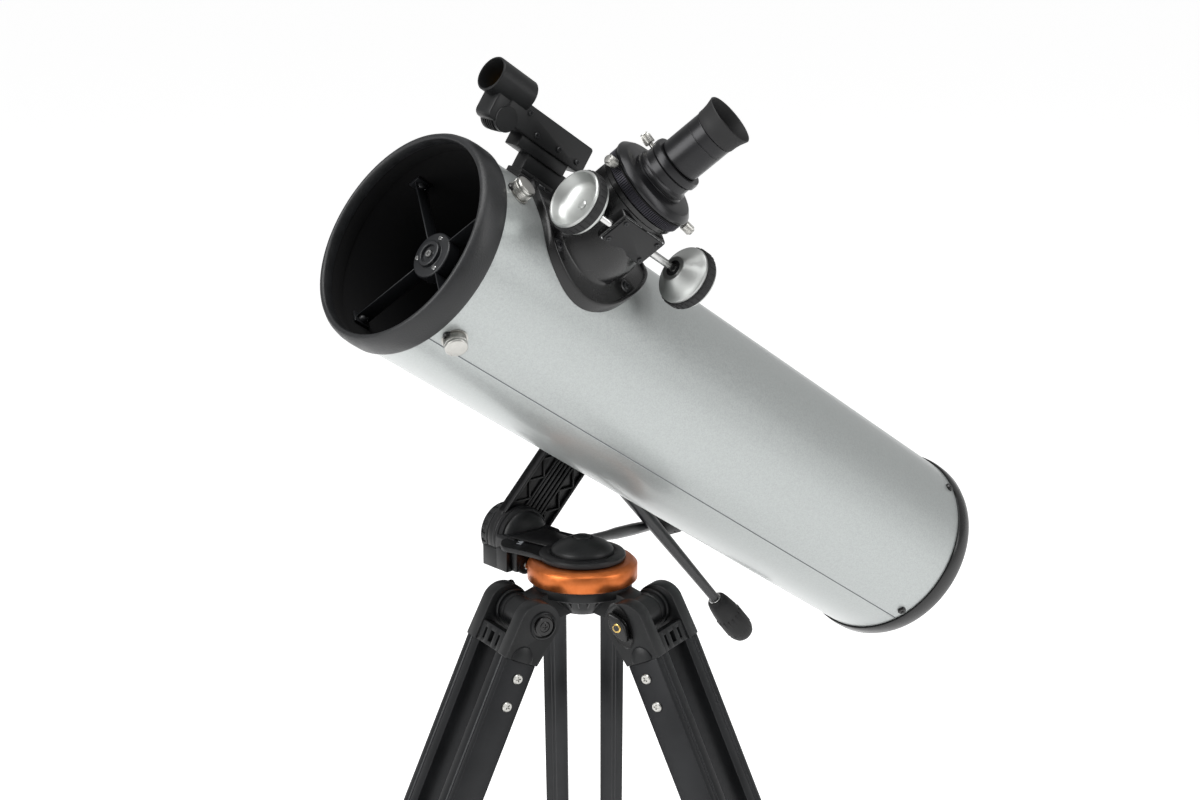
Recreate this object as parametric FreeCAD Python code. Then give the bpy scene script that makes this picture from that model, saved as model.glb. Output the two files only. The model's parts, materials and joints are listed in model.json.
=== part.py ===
# Newtonian reflector on a folding single-arm alt-azimuth head and a three-legged aluminium tripod.
# Millimetres, +Z up, origin on the floor under the azimuth axis. The tube points towards -X.
import FreeCAD, Part
import math
import os

Vec = FreeCAD.Vector
ORIGIN = Vec(0, 0, 0)
X_AXIS = Vec(1, 0, 0)
Y_AXIS = Vec(0, 1, 0)
Z_AXIS = Vec(0, 0, 1)

# ---- clearances ----
RUN_FIT = 0.05
GAP = 0.4

# ---- tripod ----
RING_Z = 700.0
RING_R = 43.7
RING_H = 16.5
RING_CHAMFER = 4.0
TURNTABLE_BORE_R = 31.2
PIVOT_RADIUS = 53.5
PIVOT_DROP = 21.0
SPLAY_DEG = 24.7
LEG_AZIMUTHS = (50.4, 170.4, 290.4)
HUB_R = 39.5
HUB_PLATE_H = 10.0
BARREL_HALF = 18.6
BOLT_R = 3.0
CHEEK_IN = 19.0
CHEEK_OUT = 33.6
CHEEK_R = 17.5
RAIL_GAP_HALF = 14.2
RAIL_X0, RAIL_X1 = -6.25, 20.25
RAIL_TOP = -32.0
RAIL_LENGTH = 608.0
RAIL_WALL = 1.6
PLUG_DEPTH = 58.0
SCREW_STATIONS = (-45.0, -68.0)
RAIL_MID_X = (RAIL_X0 + RAIL_X1) / 2
SCREW_X = 5.0
CLAMP_H = 62.0
CLAMP_DROP = 28.0
EXT_TOP = -295.0
EXT_HALF_Y = 12.2
EXT_X0, EXT_X1 = -3.0, 17.0
EXT_WALL = 1.5
LOCK_STATION = 14.0
FOOT_R = 15.5
FOOT_LENGTH = 46.0

# ---- centre brace and tray ----
BRACE_STATION = 378.0
BRACE_INSET = 14.0
BRACE_FLOOR_X = -7.6
BRACE_RISE_DEG = 35.0
BRACE_HUB_R = 35.0
BRACE_SLOT = 13.0
BRACE_PIN_R = 2.5
BRACE_SLOT_R = 3.4
STRUT_HALF = 6.0
TRAY_CENTRE_R = 25.0
TRAY_LOBE_R = 27.0
TRAY_LOBE_AT = 55.0
TRAY_NECK_HALF = 16.0
TRAY_H = 4.0
TRAY_RISE = 9.0
TRAY_NOTCH_R = 11.0
EYEPIECE_HOLE_R = 16.0

# ---- alt-azimuth head ----
HINGE = Vec(2.1, 0, RING_Z + 14.5)
ARM_LEAN_DEG = 44.2
ARM_LENGTH = 141.3
ARM_Y0, ARM_Y1 = 86.0, 96.0
ARM_HALF_W = 24.5
BARREL_R = 24.5
BARREL_Y = 78.0
HINGE_CAP_R = 22.0
PLATE_Z0, PLATE_Z1 = RING_Z + 17.2, RING_Z + 21.5
AZ_ROD_START = Vec(74.3, 64.0, RING_Z + 3.6)
AZ_ROD_DIR = Vec(0.896, 0.425, -0.18)
ALT_WORM_X, ALT_WORM_Z = 68.7, RING_Z + 88.5
ALT_ROD_Y = 91.0
ALT_ROD_DIR = Vec(0.66, 0, -0.751)

# ---- optical tube (x along the axis to the front, y to the focuser side, z up) ----
TUBE_DATUM = Vec(-11.6, -14.0, RING_Z + 188.7)
TUBE_ALT_DEG = 33.0
TUBE_R = 81.0
TUBE_WALL = 1.2
TUBE_S0, TUBE_S1 = -404.0, 190.0
RING_REAR, RING_LIP = 177.0, 199.0
APERTURE_R = 77.0
CELL_REAR = -422.5
CELL_PCD = 84.0
CELL_ANGLES = (90, 210, 330)
SCREW_PHI = 41.5
FRONT_SCREW_S = 167.0
REAR_SCREW_S = -397.0
SPIDER_S = 160.0
ALT_S = -133.8
BAR_HALF = 105.0
FOCUS_S = 84.5
FOCUS_PHI = 39.5
SHAFT_Y, SHAFT_Q = 29.0, 113.7
SHAFT_R = 3.0
KNOB_MID = -6.0
FLANGE_Q = 149.0
FINDER_PHI = 3.0
FINDER_Q = 134.3
FINDER_TUBE_R = 13.6


# ---------------------------------------------------------------- helpers
def bar(radius, length, base=ORIGIN, axis=Z_AXIS):
    return Part.makeCylinder(radius, length, base, axis)


def pipe(outer, inner, length, base=ORIGIN, axis=Z_AXIS):
    return bar(outer, length, base, axis).cut(bar(inner, length, base, axis))


def block(x0, x1, y0, y1, z0, z1):
    return Part.makeBox(x1 - x0, y1 - y0, z1 - z0, Vec(x0, y0, z0))


def fuse(shapes):
    joined = shapes[0].fuse(shapes[1:]) if len(shapes) > 1 else shapes[0]
    return joined.removeSplitter()


def cut(shape, tools):
    for tool in tools:
        shape = shape.cut(tool)
    return shape


def prism(points, depth, direction):
    """Closed outline of Vec corners pushed along a direction."""
    wire = Part.makePolygon(points + points[:1])
    step = Vec(direction).normalize() * depth
    return Part.Face(wire).extrude(step)


def turned(profile, base, axis):
    """Solid of revolution from (radius, height) corners, set on a base point along an axis."""
    corners = [Vec(r, 0, h) for r, h in profile]
    face = Part.Face(Part.makePolygon(corners + corners[:1]))
    solid = face.revolve(ORIGIN, Z_AXIS, 360)
    solid.Placement = FreeCAD.Placement(base, FreeCAD.Rotation(Z_AXIS, axis))
    return solid


def moved(shape, placement):
    result = shape.copy()
    result.Placement = placement.multiply(result.Placement)
    return result


def soften(shape, radius, test):
    """Round the edges picked out by a test on each edge."""
    return shape.makeFillet(radius, [edge for edge in shape.Edges if test(edge)])


def runs_along(axis, shortest):
    def test(edge):
        if edge.Length < shortest or edge.Curve.TypeId != "Part::GeomLine":
            return False
        return abs(abs(edge.Curve.Direction.dot(axis)) - 1) < 1e-6
    return test


def unit(angle_deg, radius=1.0, z=0.0):
    angle = math.radians(angle_deg)
    return Vec(radius * math.cos(angle), radius * math.sin(angle), z)


def export(name, shapes):
    shape = shapes[0] if len(shapes) == 1 else Part.makeCompound(shapes)
    shape.exportStep("parts/" + name + ".step")
    print(name, len(shape.Solids), "solids", len(shape.Faces), "faces")


# ---------------------------------------------------------------- frames
def leg_frame(azimuth):
    """Leg laid out hanging straight down from its pivot: x outboard, y across the rails."""
    turn = FreeCAD.Placement(ORIGIN, FreeCAD.Rotation(Z_AXIS, azimuth))
    pivot = Vec(PIVOT_RADIUS, 0, RING_Z - PIVOT_DROP)
    shift = FreeCAD.Placement(pivot, FreeCAD.Rotation(Y_AXIS, -SPLAY_DEG))
    return turn.multiply(shift)


def tube_frame():
    alt = math.radians(TUBE_ALT_DEG)
    forward = Vec(-math.cos(alt), 0, math.sin(alt))
    upward = Vec(math.sin(alt), 0, math.cos(alt))
    return FreeCAD.Placement(TUBE_DATUM, FreeCAD.Rotation(forward, -Y_AXIS, upward, "XYZ"))


def radial_frame(station, phi):
    """Local z leaves the tube at angle phi from the top, local x runs forward."""
    return FreeCAD.Placement(Vec(station, 0, 0), FreeCAD.Rotation(X_AXIS, -phi))


def arm_frame():
    return FreeCAD.Placement(HINGE, FreeCAD.Rotation(Y_AXIS, ARM_LEAN_DEG))


# ---------------------------------------------------------------- tripod
def tripod_hub():
    top = bar(HUB_R, HUB_PLATE_H, Vec(0, 0, RING_Z - HUB_PLATE_H))
    spigot = bar(24, RING_H, Vec(0, 0, RING_Z))
    boss = Part.makeCone(17, 31, 16, Vec(0, 0, RING_Z - HUB_PLATE_H - 16), Z_AXIS)
    body = [top, spigot, boss]
    for azimuth in LEG_AZIMUTHS:
        turn = FreeCAD.Placement(ORIGIN, FreeCAD.Rotation(Z_AXIS, azimuth))
        z0 = RING_Z - PIVOT_DROP
        corners = [Vec(10, -12, z0 - 2), Vec(PIVOT_RADIUS, -12, z0 - 12), Vec(PIVOT_RADIUS, -12, z0 + 12),
                   Vec(30, -12, RING_Z - 1), Vec(10, -12, RING_Z - 1)]
        reach = prism(corners, 24, Y_AXIS)
        barrel = bar(13.5, 2 * BARREL_HALF, Vec(PIVOT_RADIUS, -BARREL_HALF, z0), Y_AXIS)
        collars = [bar(15.8, 3, Vec(PIVOT_RADIUS, y, z0), Y_AXIS) for y in (-BARREL_HALF + 1.5, BARREL_HALF - 4.5)]
        bore = bar(BOLT_R, 80, Vec(PIVOT_RADIUS, -40, z0), Y_AXIS)
        body += [moved(fuse([reach, barrel] + collars).cut(bore), turn)]
    return [fuse(body)]


def azimuth_ring():
    ring = turned([(25, 0), (RING_R, 0), (RING_R, RING_H - RING_CHAMFER), (RING_R - RING_CHAMFER, RING_H),
                   (TURNTABLE_BORE_R, RING_H), (TURNTABLE_BORE_R, 9), (25, 9)], Vec(0, 0, RING_Z), Z_AXIS)
    return [ring]


def pivot_bolt():
    head = bar(7.5, 3.4, Vec(0, CHEEK_OUT - 3.6, 0), Y_AXIS)
    shank = bar(BOLT_R, CHEEK_OUT * 2 + 5, Vec(0, -CHEEK_OUT - 6, 0), Y_AXIS)
    return fuse([head, shank])


def pivot_wing_nut():
    outline = [Vec(0, 0, 13.5), Vec(3.6, 0, 6.5), Vec(6.2, 0, 2.2), Vec(6.2, 0, -2.2), Vec(3.6, 0, -6.5),
               Vec(0, 0, -13.5), Vec(-3.6, 0, -6.5), Vec(-6.2, 0, -2.2), Vec(-6.2, 0, 2.2), Vec(-3.6, 0, 6.5)]
    wings = prism(outline, 4.6, -Y_AXIS)
    core = bar(4.4, 5.6, ORIGIN, -Y_AXIS)
    nut = fuse([wings, core]).cut(bar(BOLT_R, 8, Vec(0, 1, 0), -Y_AXIS))
    nut.translate(Vec(0, -CHEEK_OUT - 0.3, 0))
    return nut


def cheek(side):
    """One side plate of a leg head, from the round eye down to the rail."""
    y0 = CHEEK_IN if side > 0 else -CHEEK_OUT
    depth = CHEEK_OUT - CHEEK_IN
    eye = bar(CHEEK_R, depth, Vec(3, y0, 0), Y_AXIS)
    skirt = prism([Vec(3 - CHEEK_R, y0, 0), Vec(3 + CHEEK_R, y0, 0), Vec(22, y0, RAIL_TOP), Vec(-8, y0, RAIL_TOP)],
                  depth, Y_AXIS)
    thumb = bar(8.5, 2, Vec(RAIL_MID_X, side * (CHEEK_OUT + 1) - 1, RAIL_TOP + 1), Y_AXIS)
    thumb = thumb.common(block(-20, 40, -50, 50, RAIL_TOP, 0))
    plate = fuse([eye, skirt, thumb])
    if side > 0:
        plate = plate.cut(bar(9.5, 5, Vec(0, CHEEK_OUT - 4, 0), Y_AXIS))
    return plate


def leg_head():
    web = block(9, 20, -CHEEK_IN, CHEEK_IN, RAIL_TOP, -19)
    slots = [block(5, 25, y - 3, y + 3, RAIL_TOP + 3, -22) for y in (-9, 0, 9)]
    web = cut(web, slots)
    plugs = []
    for side in (-1, 1):
        y0, y1 = sorted((side * (RAIL_GAP_HALF + RAIL_WALL + 0.2), side * (CHEEK_OUT - RAIL_WALL - 0.2)))
        plugs.append(block(RAIL_X0 + RAIL_WALL + 0.2, RAIL_X1 - RAIL_WALL - 0.2, y0, y1,
                           RAIL_TOP - PLUG_DEPTH, RAIL_TOP + 1))
    body = fuse([cheek(-1), cheek(1), web] + plugs)
    holes = [bar(BOLT_R + RUN_FIT, 90, Vec(0, -45, 0), Y_AXIS)]
    for z in SCREW_STATIONS:
        holes.append(bar(2, 90, Vec(SCREW_X, -45, z), Y_AXIS))
    return cut(body, holes)


def leg_rails():
    rails = []
    for side in (-1, 1):
        y0, y1 = sorted((side * RAIL_GAP_HALF, side * CHEEK_OUT))
        skin = block(RAIL_X0, RAIL_X1, y0, y1, RAIL_TOP - RAIL_LENGTH, RAIL_TOP)
        skin = soften(skin, 3.0, runs_along(Z_AXIS, 100))
        hollow = block(RAIL_X0 + RAIL_WALL, RAIL_X1 - RAIL_WALL, y0 + RAIL_WALL, y1 - RAIL_WALL,
                       RAIL_TOP - RAIL_LENGTH, RAIL_TOP)
        rail = skin.cut(hollow)
        for z in SCREW_STATIONS:
            rail = rail.cut(bar(2, 90, Vec(SCREW_X, -45, z), Y_AXIS))
        rails.append(rail)
    return rails


def leg_screws():
    screws = []
    for z in SCREW_STATIONS:
        for side in (-1, 1):
            start = Vec(SCREW_X, side * (CHEEK_OUT + 1.6), z)
            profile = [(0, 0), (2.2, 0), (4, 1.6), (2, 1.6), (2, 14), (0, 14)]
            screws.append(turned(profile, start, Y_AXIS * -side))
    return screws


def leg_clamp():
    """Collar at the foot of the rails that guides the extension and carries the lock knob."""
    z1 = RAIL_TOP - RAIL_LENGTH + CLAMP_H - CLAMP_DROP
    z0 = z1 - CLAMP_H
    body = block(-11, 24, -36.5, 36.5, z0, z1)
    body = soften(body, 5.0, runs_along(Z_AXIS, 30))
    boss = bar(11, 9, Vec(23, 0, z0 + LOCK_STATION), X_AXIS)
    tools = [block(RAIL_X0 - 0.1, RAIL_X1 + 0.1, y0, y1, z0 + CLAMP_DROP, z1 + 1)
             for y0, y1 in ((-CHEEK_OUT - 0.1, -RAIL_GAP_HALF + 0.1), (RAIL_GAP_HALF - 0.1, CHEEK_OUT + 0.1))]
    tools.append(block(EXT_X0 - GAP, EXT_X1 + GAP, -EXT_HALF_Y - GAP, EXT_HALF_Y + GAP, z0 - 1, z1 + 1))
    tools.append(bar(BOLT_R + RUN_FIT, 20, Vec(15, 0, z0 + LOCK_STATION), X_AXIS))
    bracket = block(-22, -6.35, -22, 22, -BRACE_STATION - 9, -BRACE_STATION + 9)
    bracket = cut(bracket, [block(-30, BRACE_FLOOR_X, -STRUT_HALF - 1, STRUT_HALF + 1, -BRACE_STATION - 10,
                                  -BRACE_STATION + 10),
                            bar(BRACE_PIN_R, 60, Vec(-BRACE_INSET, -30, -BRACE_STATION), Y_AXIS)])
    pin = bar(BRACE_PIN_R, 44, Vec(-BRACE_INSET, -22, -BRACE_STATION), Y_AXIS)
    return cut(fuse([body, boss]), tools), fuse([bracket, pin])


def leg_extension():
    shoe_z1 = EXT_TOP
    skin = block(EXT_X0, EXT_X1, -EXT_HALF_Y, EXT_HALF_Y, -700, shoe_z1 - 8)
    skin = soften(skin, 2.0, runs_along(Z_AXIS, 100))
    hollow = block(EXT_X0 + EXT_WALL, EXT_X1 - EXT_WALL, -EXT_HALF_Y + EXT_WALL, EXT_HALF_Y - EXT_WALL,
                   -700, shoe_z1 - 8)
    shoe = block(EXT_X0 - 1, EXT_X1 + 1, -RAIL_GAP_HALF + GAP, RAIL_GAP_HALF - GAP, shoe_z1 - 30, shoe_z1)
    shoe = shoe.cut(block(EXT_X0, EXT_X1, -EXT_HALF_Y, EXT_HALF_Y, shoe_z1 - 31, shoe_z1 - 8))
    return fuse([skin.cut(hollow), shoe])


def leg_foot(frame):
    """Rubber boot with its sole trimmed flat to the floor."""
    mid_x = (EXT_X0 + EXT_X1) / 2
    boot = turned([(0, -770), (FOOT_R - 4, -770), (FOOT_R - 1, -722), (FOOT_R, -712), (FOOT_R, -704),
                   (FOOT_R - 2, -700), (0, -700)], Vec(mid_x, 0, 0), Z_AXIS)
    tongue = block(EXT_X0 + EXT_WALL + 0.1, EXT_X1 - EXT_WALL - 0.1, -EXT_HALF_Y + EXT_WALL + 0.1,
                   EXT_HALF_Y - EXT_WALL - 0.1, -701, -685)
    boot = moved(fuse([boot, tongue]), frame)
    return boot.cut(block(-900, 900, -900, 900, -200, 0))


def leg_lock():
    z = RAIL_TOP - RAIL_LENGTH - CLAMP_DROP + LOCK_STATION
    shank = bar(BOLT_R, 16, Vec(17.6, 0, z), X_AXIS)
    grip = bar(13, 12, Vec(32.4, 0, z), X_AXIS)
    flutes = []
    for k in range(6):
        around = unit(60 * k, 14)
        flutes.append(bar(3, 14, Vec(31.5, around.x, z + around.y), X_AXIS))
    return cut(fuse([shank, grip]), flutes)


def brace_geometry():
    """Outer pin, inner pin and slope of a strut in the radial plane of its leg."""
    splay = math.radians(SPLAY_DEG)
    outer = (PIVOT_RADIUS + BRACE_STATION * math.sin(splay) - BRACE_INSET * math.cos(splay),
             RING_Z - PIVOT_DROP - BRACE_STATION * math.cos(splay) - BRACE_INSET * math.sin(splay))
    run = outer[0] - BRACE_HUB_R
    rise = run * math.tan(math.radians(BRACE_RISE_DEG))
    return outer, (BRACE_HUB_R, outer[1] + rise), math.hypot(run, rise)


def brace_strut(azimuth):
    outer, inner, length = brace_geometry()
    flat = block(0, length, -1.6, 1.6, -STRUT_HALF, STRUT_HALF)
    nose = bar(STRUT_HALF, 3.2, Vec(length, -1.6, 0), Y_AXIS)
    eye = bar(STRUT_HALF, 2 * STRUT_HALF, Vec(0, -STRUT_HALF, 0), Y_AXIS)
    body = fuse([flat, eye, nose])
    slot = fuse([bar(BRACE_SLOT_R, 20, Vec(length - BRACE_SLOT, -10, 0), Y_AXIS),
                 bar(BRACE_SLOT_R, 20, Vec(length, -10, 0), Y_AXIS),
                 block(length - BRACE_SLOT, length, -10, 10, -BRACE_SLOT_R, BRACE_SLOT_R)])
    body = cut(body, [slot, bar(BRACE_PIN_R + RUN_FIT, 30, Vec(0, -15, 0), Y_AXIS)])
    lean = FreeCAD.Placement(Vec(outer[0], 0, outer[1]), FreeCAD.Rotation(Y_AXIS, -180 + BRACE_RISE_DEG))
    turn = FreeCAD.Placement(ORIGIN, FreeCAD.Rotation(Z_AXIS, azimuth))
    return moved(body, turn.multiply(lean))


def brace_hub():
    inner = brace_geometry()[1]
    core = bar(18, 16, Vec(0, 0, inner[1] - 8))
    parts = [core, bar(5, 10, Vec(0, 0, inner[1] + 7))]
    for azimuth in LEG_AZIMUTHS:
        turn = FreeCAD.Placement(ORIGIN, FreeCAD.Rotation(Z_AXIS, azimuth))
        ears = [block(15, BRACE_HUB_R + 5, y0, y0 + 3, inner[1] - 8, inner[1] + 8) for y0 in (-6.5, 3.5)]
        pin = bar(BRACE_PIN_R, 13, Vec(BRACE_HUB_R, -6.5, inner[1]), Y_AXIS)
        parts.append(moved(fuse(ears + [pin]), turn))
    return fuse(parts)


def accessory_tray():
    z0 = brace_geometry()[1][1] + TRAY_RISE
    plate = [bar(TRAY_CENTRE_R, TRAY_H, Vec(0, 0, z0))]
    holes = [bar(5.2, TRAY_H + 2, Vec(0, 0, z0 - 1))]
    for azimuth in LEG_AZIMUTHS:
        between = azimuth + 60
        lobe = bar(TRAY_LOBE_R, TRAY_H, unit(between, TRAY_LOBE_AT, z0))
        turn = FreeCAD.Placement(ORIGIN, FreeCAD.Rotation(Z_AXIS, between))
        neck = block(0, TRAY_LOBE_AT, -TRAY_NECK_HALF, TRAY_NECK_HALF, z0, z0 + TRAY_H)
        plate += [lobe, moved(neck, turn)]
        notch = block(TRAY_NOTCH_R, TRAY_CENTRE_R + 14, -3, 3, z0 - 1, z0 + TRAY_H + 1)
        holes.append(moved(notch, FreeCAD.Placement(ORIGIN, FreeCAD.Rotation(Z_AXIS, azimuth))))
        holes.append(bar(EYEPIECE_HOLE_R, TRAY_H + 2, unit(between, TRAY_LOBE_AT, z0 - 1)))
    return cut(fuse(plate), holes)


# ---------------------------------------------------------------- alt-azimuth head
def azimuth_base():
    """Turntable, swept plate and the fixed half of the folding hinge, one casting."""
    disc = bar(30.8, 6, Vec(0, 0, RING_Z + RING_H + 0.4))
    spindle = pipe(30.8, 24.4, 7.8, Vec(0, 0, RING_Z + 9.4))
    outline = [Vec(x, y, PLATE_Z0) for x, y in ((-30.5, 3), (-33, 38), (-39, 50), (-34, 62), (-24, 70), (-14, 77),
                                                (14, 77), (19, 62), (24, 46), (29, 20), (30.5, 3))]
    plate = prism(outline, PLATE_Z1 - PLATE_Z0, Z_AXIS)
    barrel = bar(BARREL_R, ARM_Y0 - BARREL_Y - GAP, Vec(HINGE.x, BARREL_Y, HINGE.z), Y_AXIS)
    bridge = block(-24, 26, 60.2, BARREL_Y + 4, RING_Z - 0.8, PLATE_Z1)
    cap_seat = bar(25, 30, Vec(0, 0, RING_Z + RING_H + 6.4))
    dome_seat = bar(HINGE_CAP_R + 0.2, BARREL_Y - 69.7, Vec(HINGE.x, 69.7, HINGE.z), Y_AXIS)
    bore = bar(4.0, 30, Vec(HINGE.x, BARREL_Y - 0.2, HINGE.z), Y_AXIS)
    return cut(fuse([disc, spindle, plate, barrel, bridge]), [cap_seat, dome_seat, bore])


def top_cap():
    z0 = RING_Z + RING_H + 6.6
    return turned([(0, 0), (24.7, 0), (24.7, 2.2), (19, 7.2), (11, 10.9), (5.5, 12.2), (5, 11.4), (0, 11.4)],
                  Vec(0, 0, z0), Z_AXIS)


def azimuth_worm_box():
    """Worm housing bolted under the plate, just outside the ring, with an angled outlet for the rod."""
    along = Vec(AZ_ROD_DIR.x, AZ_ROD_DIR.y, 0).normalize()
    across = Vec(-along.y, along.x, 0)
    case = block(-34, 30, 46, 60, RING_Z - 0.8, PLATE_Z0)
    lug = bar(3.2, 1.6, Vec(-22, 44.4, RING_Z + 3), Y_AXIS)
    start = AZ_ROD_START - along * 54 - across * 7
    corner = Vec(start.x, start.y, RING_Z - 0.8)
    points = [corner, corner + along * 30, corner + along * 30 + Vec(0, 0, 13), corner + Vec(0, 0, 13)]
    body = fuse([case, lug, prism(points, 14, across)])
    axis = Vec(AZ_ROD_DIR).normalize()
    return body.cut(bar(4.2 + RUN_FIT, 40, AZ_ROD_START - axis * 50, axis))


def hinge_cap():
    dome = [(0, 0), (HINGE_CAP_R, 0), (HINGE_CAP_R, 2), (18.5, 5.5), (11, 7.4), (0, 8.0)]
    return turned(dome, Vec(HINGE.x, BARREL_Y - 0.1, HINGE.z), -Y_AXIS)


def azimuth_rod():
    axis = Vec(AZ_ROD_DIR).normalize()
    return turned([(0, 0), (4.2, 0), (4.2, 60), (3.8, 168), (0, 168)], AZ_ROD_START - axis * 49, axis)


GRIP_PROFILE = [(0, 0), (5.4, 0), (8.8, 3), (10, 8), (11.6, 22), (12.3, 37), (11.7, 47), (9.4, 53.4), (5, 56.4),
                (0, 57)]


def azimuth_grip():
    axis = Vec(AZ_ROD_DIR).normalize()
    start = AZ_ROD_START + axis * 114
    return turned(GRIP_PROFILE, start, axis).cut(bar(3.8, 6, start - axis, axis))


def altitude_rod():
    start = Vec(ALT_WORM_X, ALT_ROD_Y, ALT_WORM_Z) - Vec(ALT_ROD_DIR).normalize() * 28
    return turned([(0, 0), (3.5, 0), (3.5, 62), (6.4, 64), (5.6, 150), (4.0, 272), (0, 272)], start,
                  ALT_ROD_DIR)


def altitude_grip():
    axis = Vec(ALT_ROD_DIR).normalize()
    start = Vec(ALT_WORM_X, ALT_ROD_Y, ALT_WORM_Z) + axis * 241
    grip = turned(GRIP_PROFILE, start, axis)
    return grip.cut(bar(4.25, 8, start - axis, axis))


def mount_arm():
    """Raked arm: hinge eye, flat web with a rim, truss ribs, worm pocket and the altitude head."""
    depth = ARM_Y1 - ARM_Y0
    lower = bar(ARM_HALF_W, depth, Vec(0, ARM_Y0, 0), Y_AXIS)
    upper = bar(36, 20, Vec(0, ARM_Y0, ARM_LENGTH), Y_AXIS)
    web = block(-ARM_HALF_W, ARM_HALF_W, ARM_Y0, ARM_Y1, 0, ARM_LENGTH)
    pocket = block(-24, 24, ARM_Y0 - 1, ARM_Y0 + 3, 34, ARM_LENGTH - 38)
    ridges = [block(x - 1.5, x + 1.5, ARM_Y0, ARM_Y0 + 5, 30, ARM_LENGTH - 36) for x in (-6, 0, 6)]
    braces = []
    for side in (-1, 1):
        for k in range(4):
            low, high = 36 + 15 * k, 36 + 15 * (k + 1)
            x_low, x_high = (11, 22) if k % 2 else (22, 11)
            points = [Vec(side * x_low, ARM_Y0, low), Vec(side * x_high, ARM_Y0, high),
                      Vec(side * x_high, ARM_Y0, high + 3), Vec(side * x_low, ARM_Y0, low + 3)]
            braces.append(prism(points, 5, Y_AXIS))
        braces.append(block(side * 10.5 - 1.2, side * 10.5 + 1.2, ARM_Y0, ARM_Y0 + 5, 30, ARM_LENGTH - 36))
    body = fuse([fuse([lower, upper, web]).cut(pocket)] + ridges + braces)
    body = cut(body, [bar(4.0 + RUN_FIT, 60, Vec(0, ARM_Y0 - 5, 0), Y_AXIS),
                      bar(14 + RUN_FIT, 60, Vec(0, ARM_Y0 - 5, ARM_LENGTH), Y_AXIS)])
    body = moved(body, arm_frame())
    axis = Vec(ALT_ROD_DIR).normalize()
    worm_centre = Vec(ALT_WORM_X, ALT_ROD_Y, ALT_WORM_Z)
    housing = bar(9.0, 66, worm_centre - axis * 33, axis)
    housing = housing.common(block(-300, 300, ARM_Y0, 140, 0, 1000))
    return cut(fuse([body, housing]), [bar(3.5 + RUN_FIT, 90, worm_centre - axis * 29, axis)])


def fold_lock():
    """Notched drum on the far side of the hinge with its through bolt."""
    drum = bar(24, 10, Vec(HINGE.x, ARM_Y1 + 0.4, HINGE.z), Y_AXIS)
    crown = bar(18, 4, Vec(HINGE.x, ARM_Y1 + 10, HINGE.z), Y_AXIS)
    notches = []
    for k in range(12):
        notch = block(-2.6, 2.6, ARM_Y1 + 3.5, ARM_Y1 + 8, 22.2, 26)
        turn = FreeCAD.Placement(HINGE, FreeCAD.Rotation(Y_AXIS, 30 * k))
        notches.append(moved(notch, turn))
    bolt = bar(4.0 - RUN_FIT, 20, Vec(HINGE.x, ARM_Y1 + 2 - 19, HINGE.z), Y_AXIS)
    return cut(fuse([drum, crown, bolt]), notches)


# ---------------------------------------------------------------- altitude head and tube
def saddle():
    """Dovetail clamp on the altitude spindle, in tube coordinates."""
    plate = block(-38, 38, -100 + GAP, -95.2, -34, 34)
    fixed_jaw = block(-38, 38, -95.2, -86, -34, -22.3)
    loose_jaw = block(-38, 38, -95.2, -86, 22.3, 34)
    spindle = bar(14, 24, Vec(0, -98, 0), -Y_AXIS)
    screw_hole = bar(2.5 + RUN_FIT, 20, Vec(0, -90.5, 36), -Z_AXIS)
    body = fuse([plate, fixed_jaw, loose_jaw, spindle]).cut(screw_hole)
    body.translate(Vec(ALT_S, 0, 0))
    return body


def saddle_knob():
    shank = bar(2.5, 14, Vec(ALT_S, -90.5, 36.5), -Z_AXIS)
    grip = bar(8.5, 16, Vec(ALT_S, -90.5, 36.5), Z_AXIS)
    return fuse([shank, grip])


def dovetail_bar():
    blank = block(ALT_S - BAR_HALF, ALT_S + BAR_HALF, -95, -70, -22, 22)
    blank = blank.cut(bar(TUBE_R, 400, Vec(ALT_S - 200, 0, 0), X_AXIS))
    waist = [block(ALT_S - 62, ALT_S + 62, -84, -60, -30, 30)]
    return cut(blank, waist)


def tube_shell():
    shell = pipe(TUBE_R, TUBE_R - TUBE_WALL, TUBE_S1 - TUBE_S0, Vec(TUBE_S0, 0, 0), X_AXIS)
    port = bar(26, 60, Vec(0, 0, TUBE_R - 30), Z_AXIS)
    stud = bar(2.5 + RUN_FIT, 20, Vec(0, 0, TUBE_R - 10), Z_AXIS)
    holes = [moved(port, radial_frame(FOCUS_S, FOCUS_PHI))]
    for k in range(4):
        holes.append(moved(stud, radial_frame(SPIDER_S, SCREW_PHI + 90 * k)))
    return cut(shell, holes)


def front_ring():
    profile = [(TUBE_R + 0.05, RING_REAR), (TUBE_R + 2.6, RING_REAR), (TUBE_R + 3.0, RING_REAR + 3),
               (TUBE_R + 3.0, RING_REAR + 12), (TUBE_R + 2.2, RING_LIP - 5), (TUBE_R + 0.6, RING_LIP - 0.6),
               (TUBE_R - 0.6, RING_LIP), (APERTURE_R + 1.4, RING_LIP), (APERTURE_R, RING_LIP - 1.5),
               (APERTURE_R, TUBE_S1 + 0.2), (TUBE_R + 0.05, TUBE_S1 + 0.2)]
    return turned(profile, ORIGIN, X_AXIS)


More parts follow.
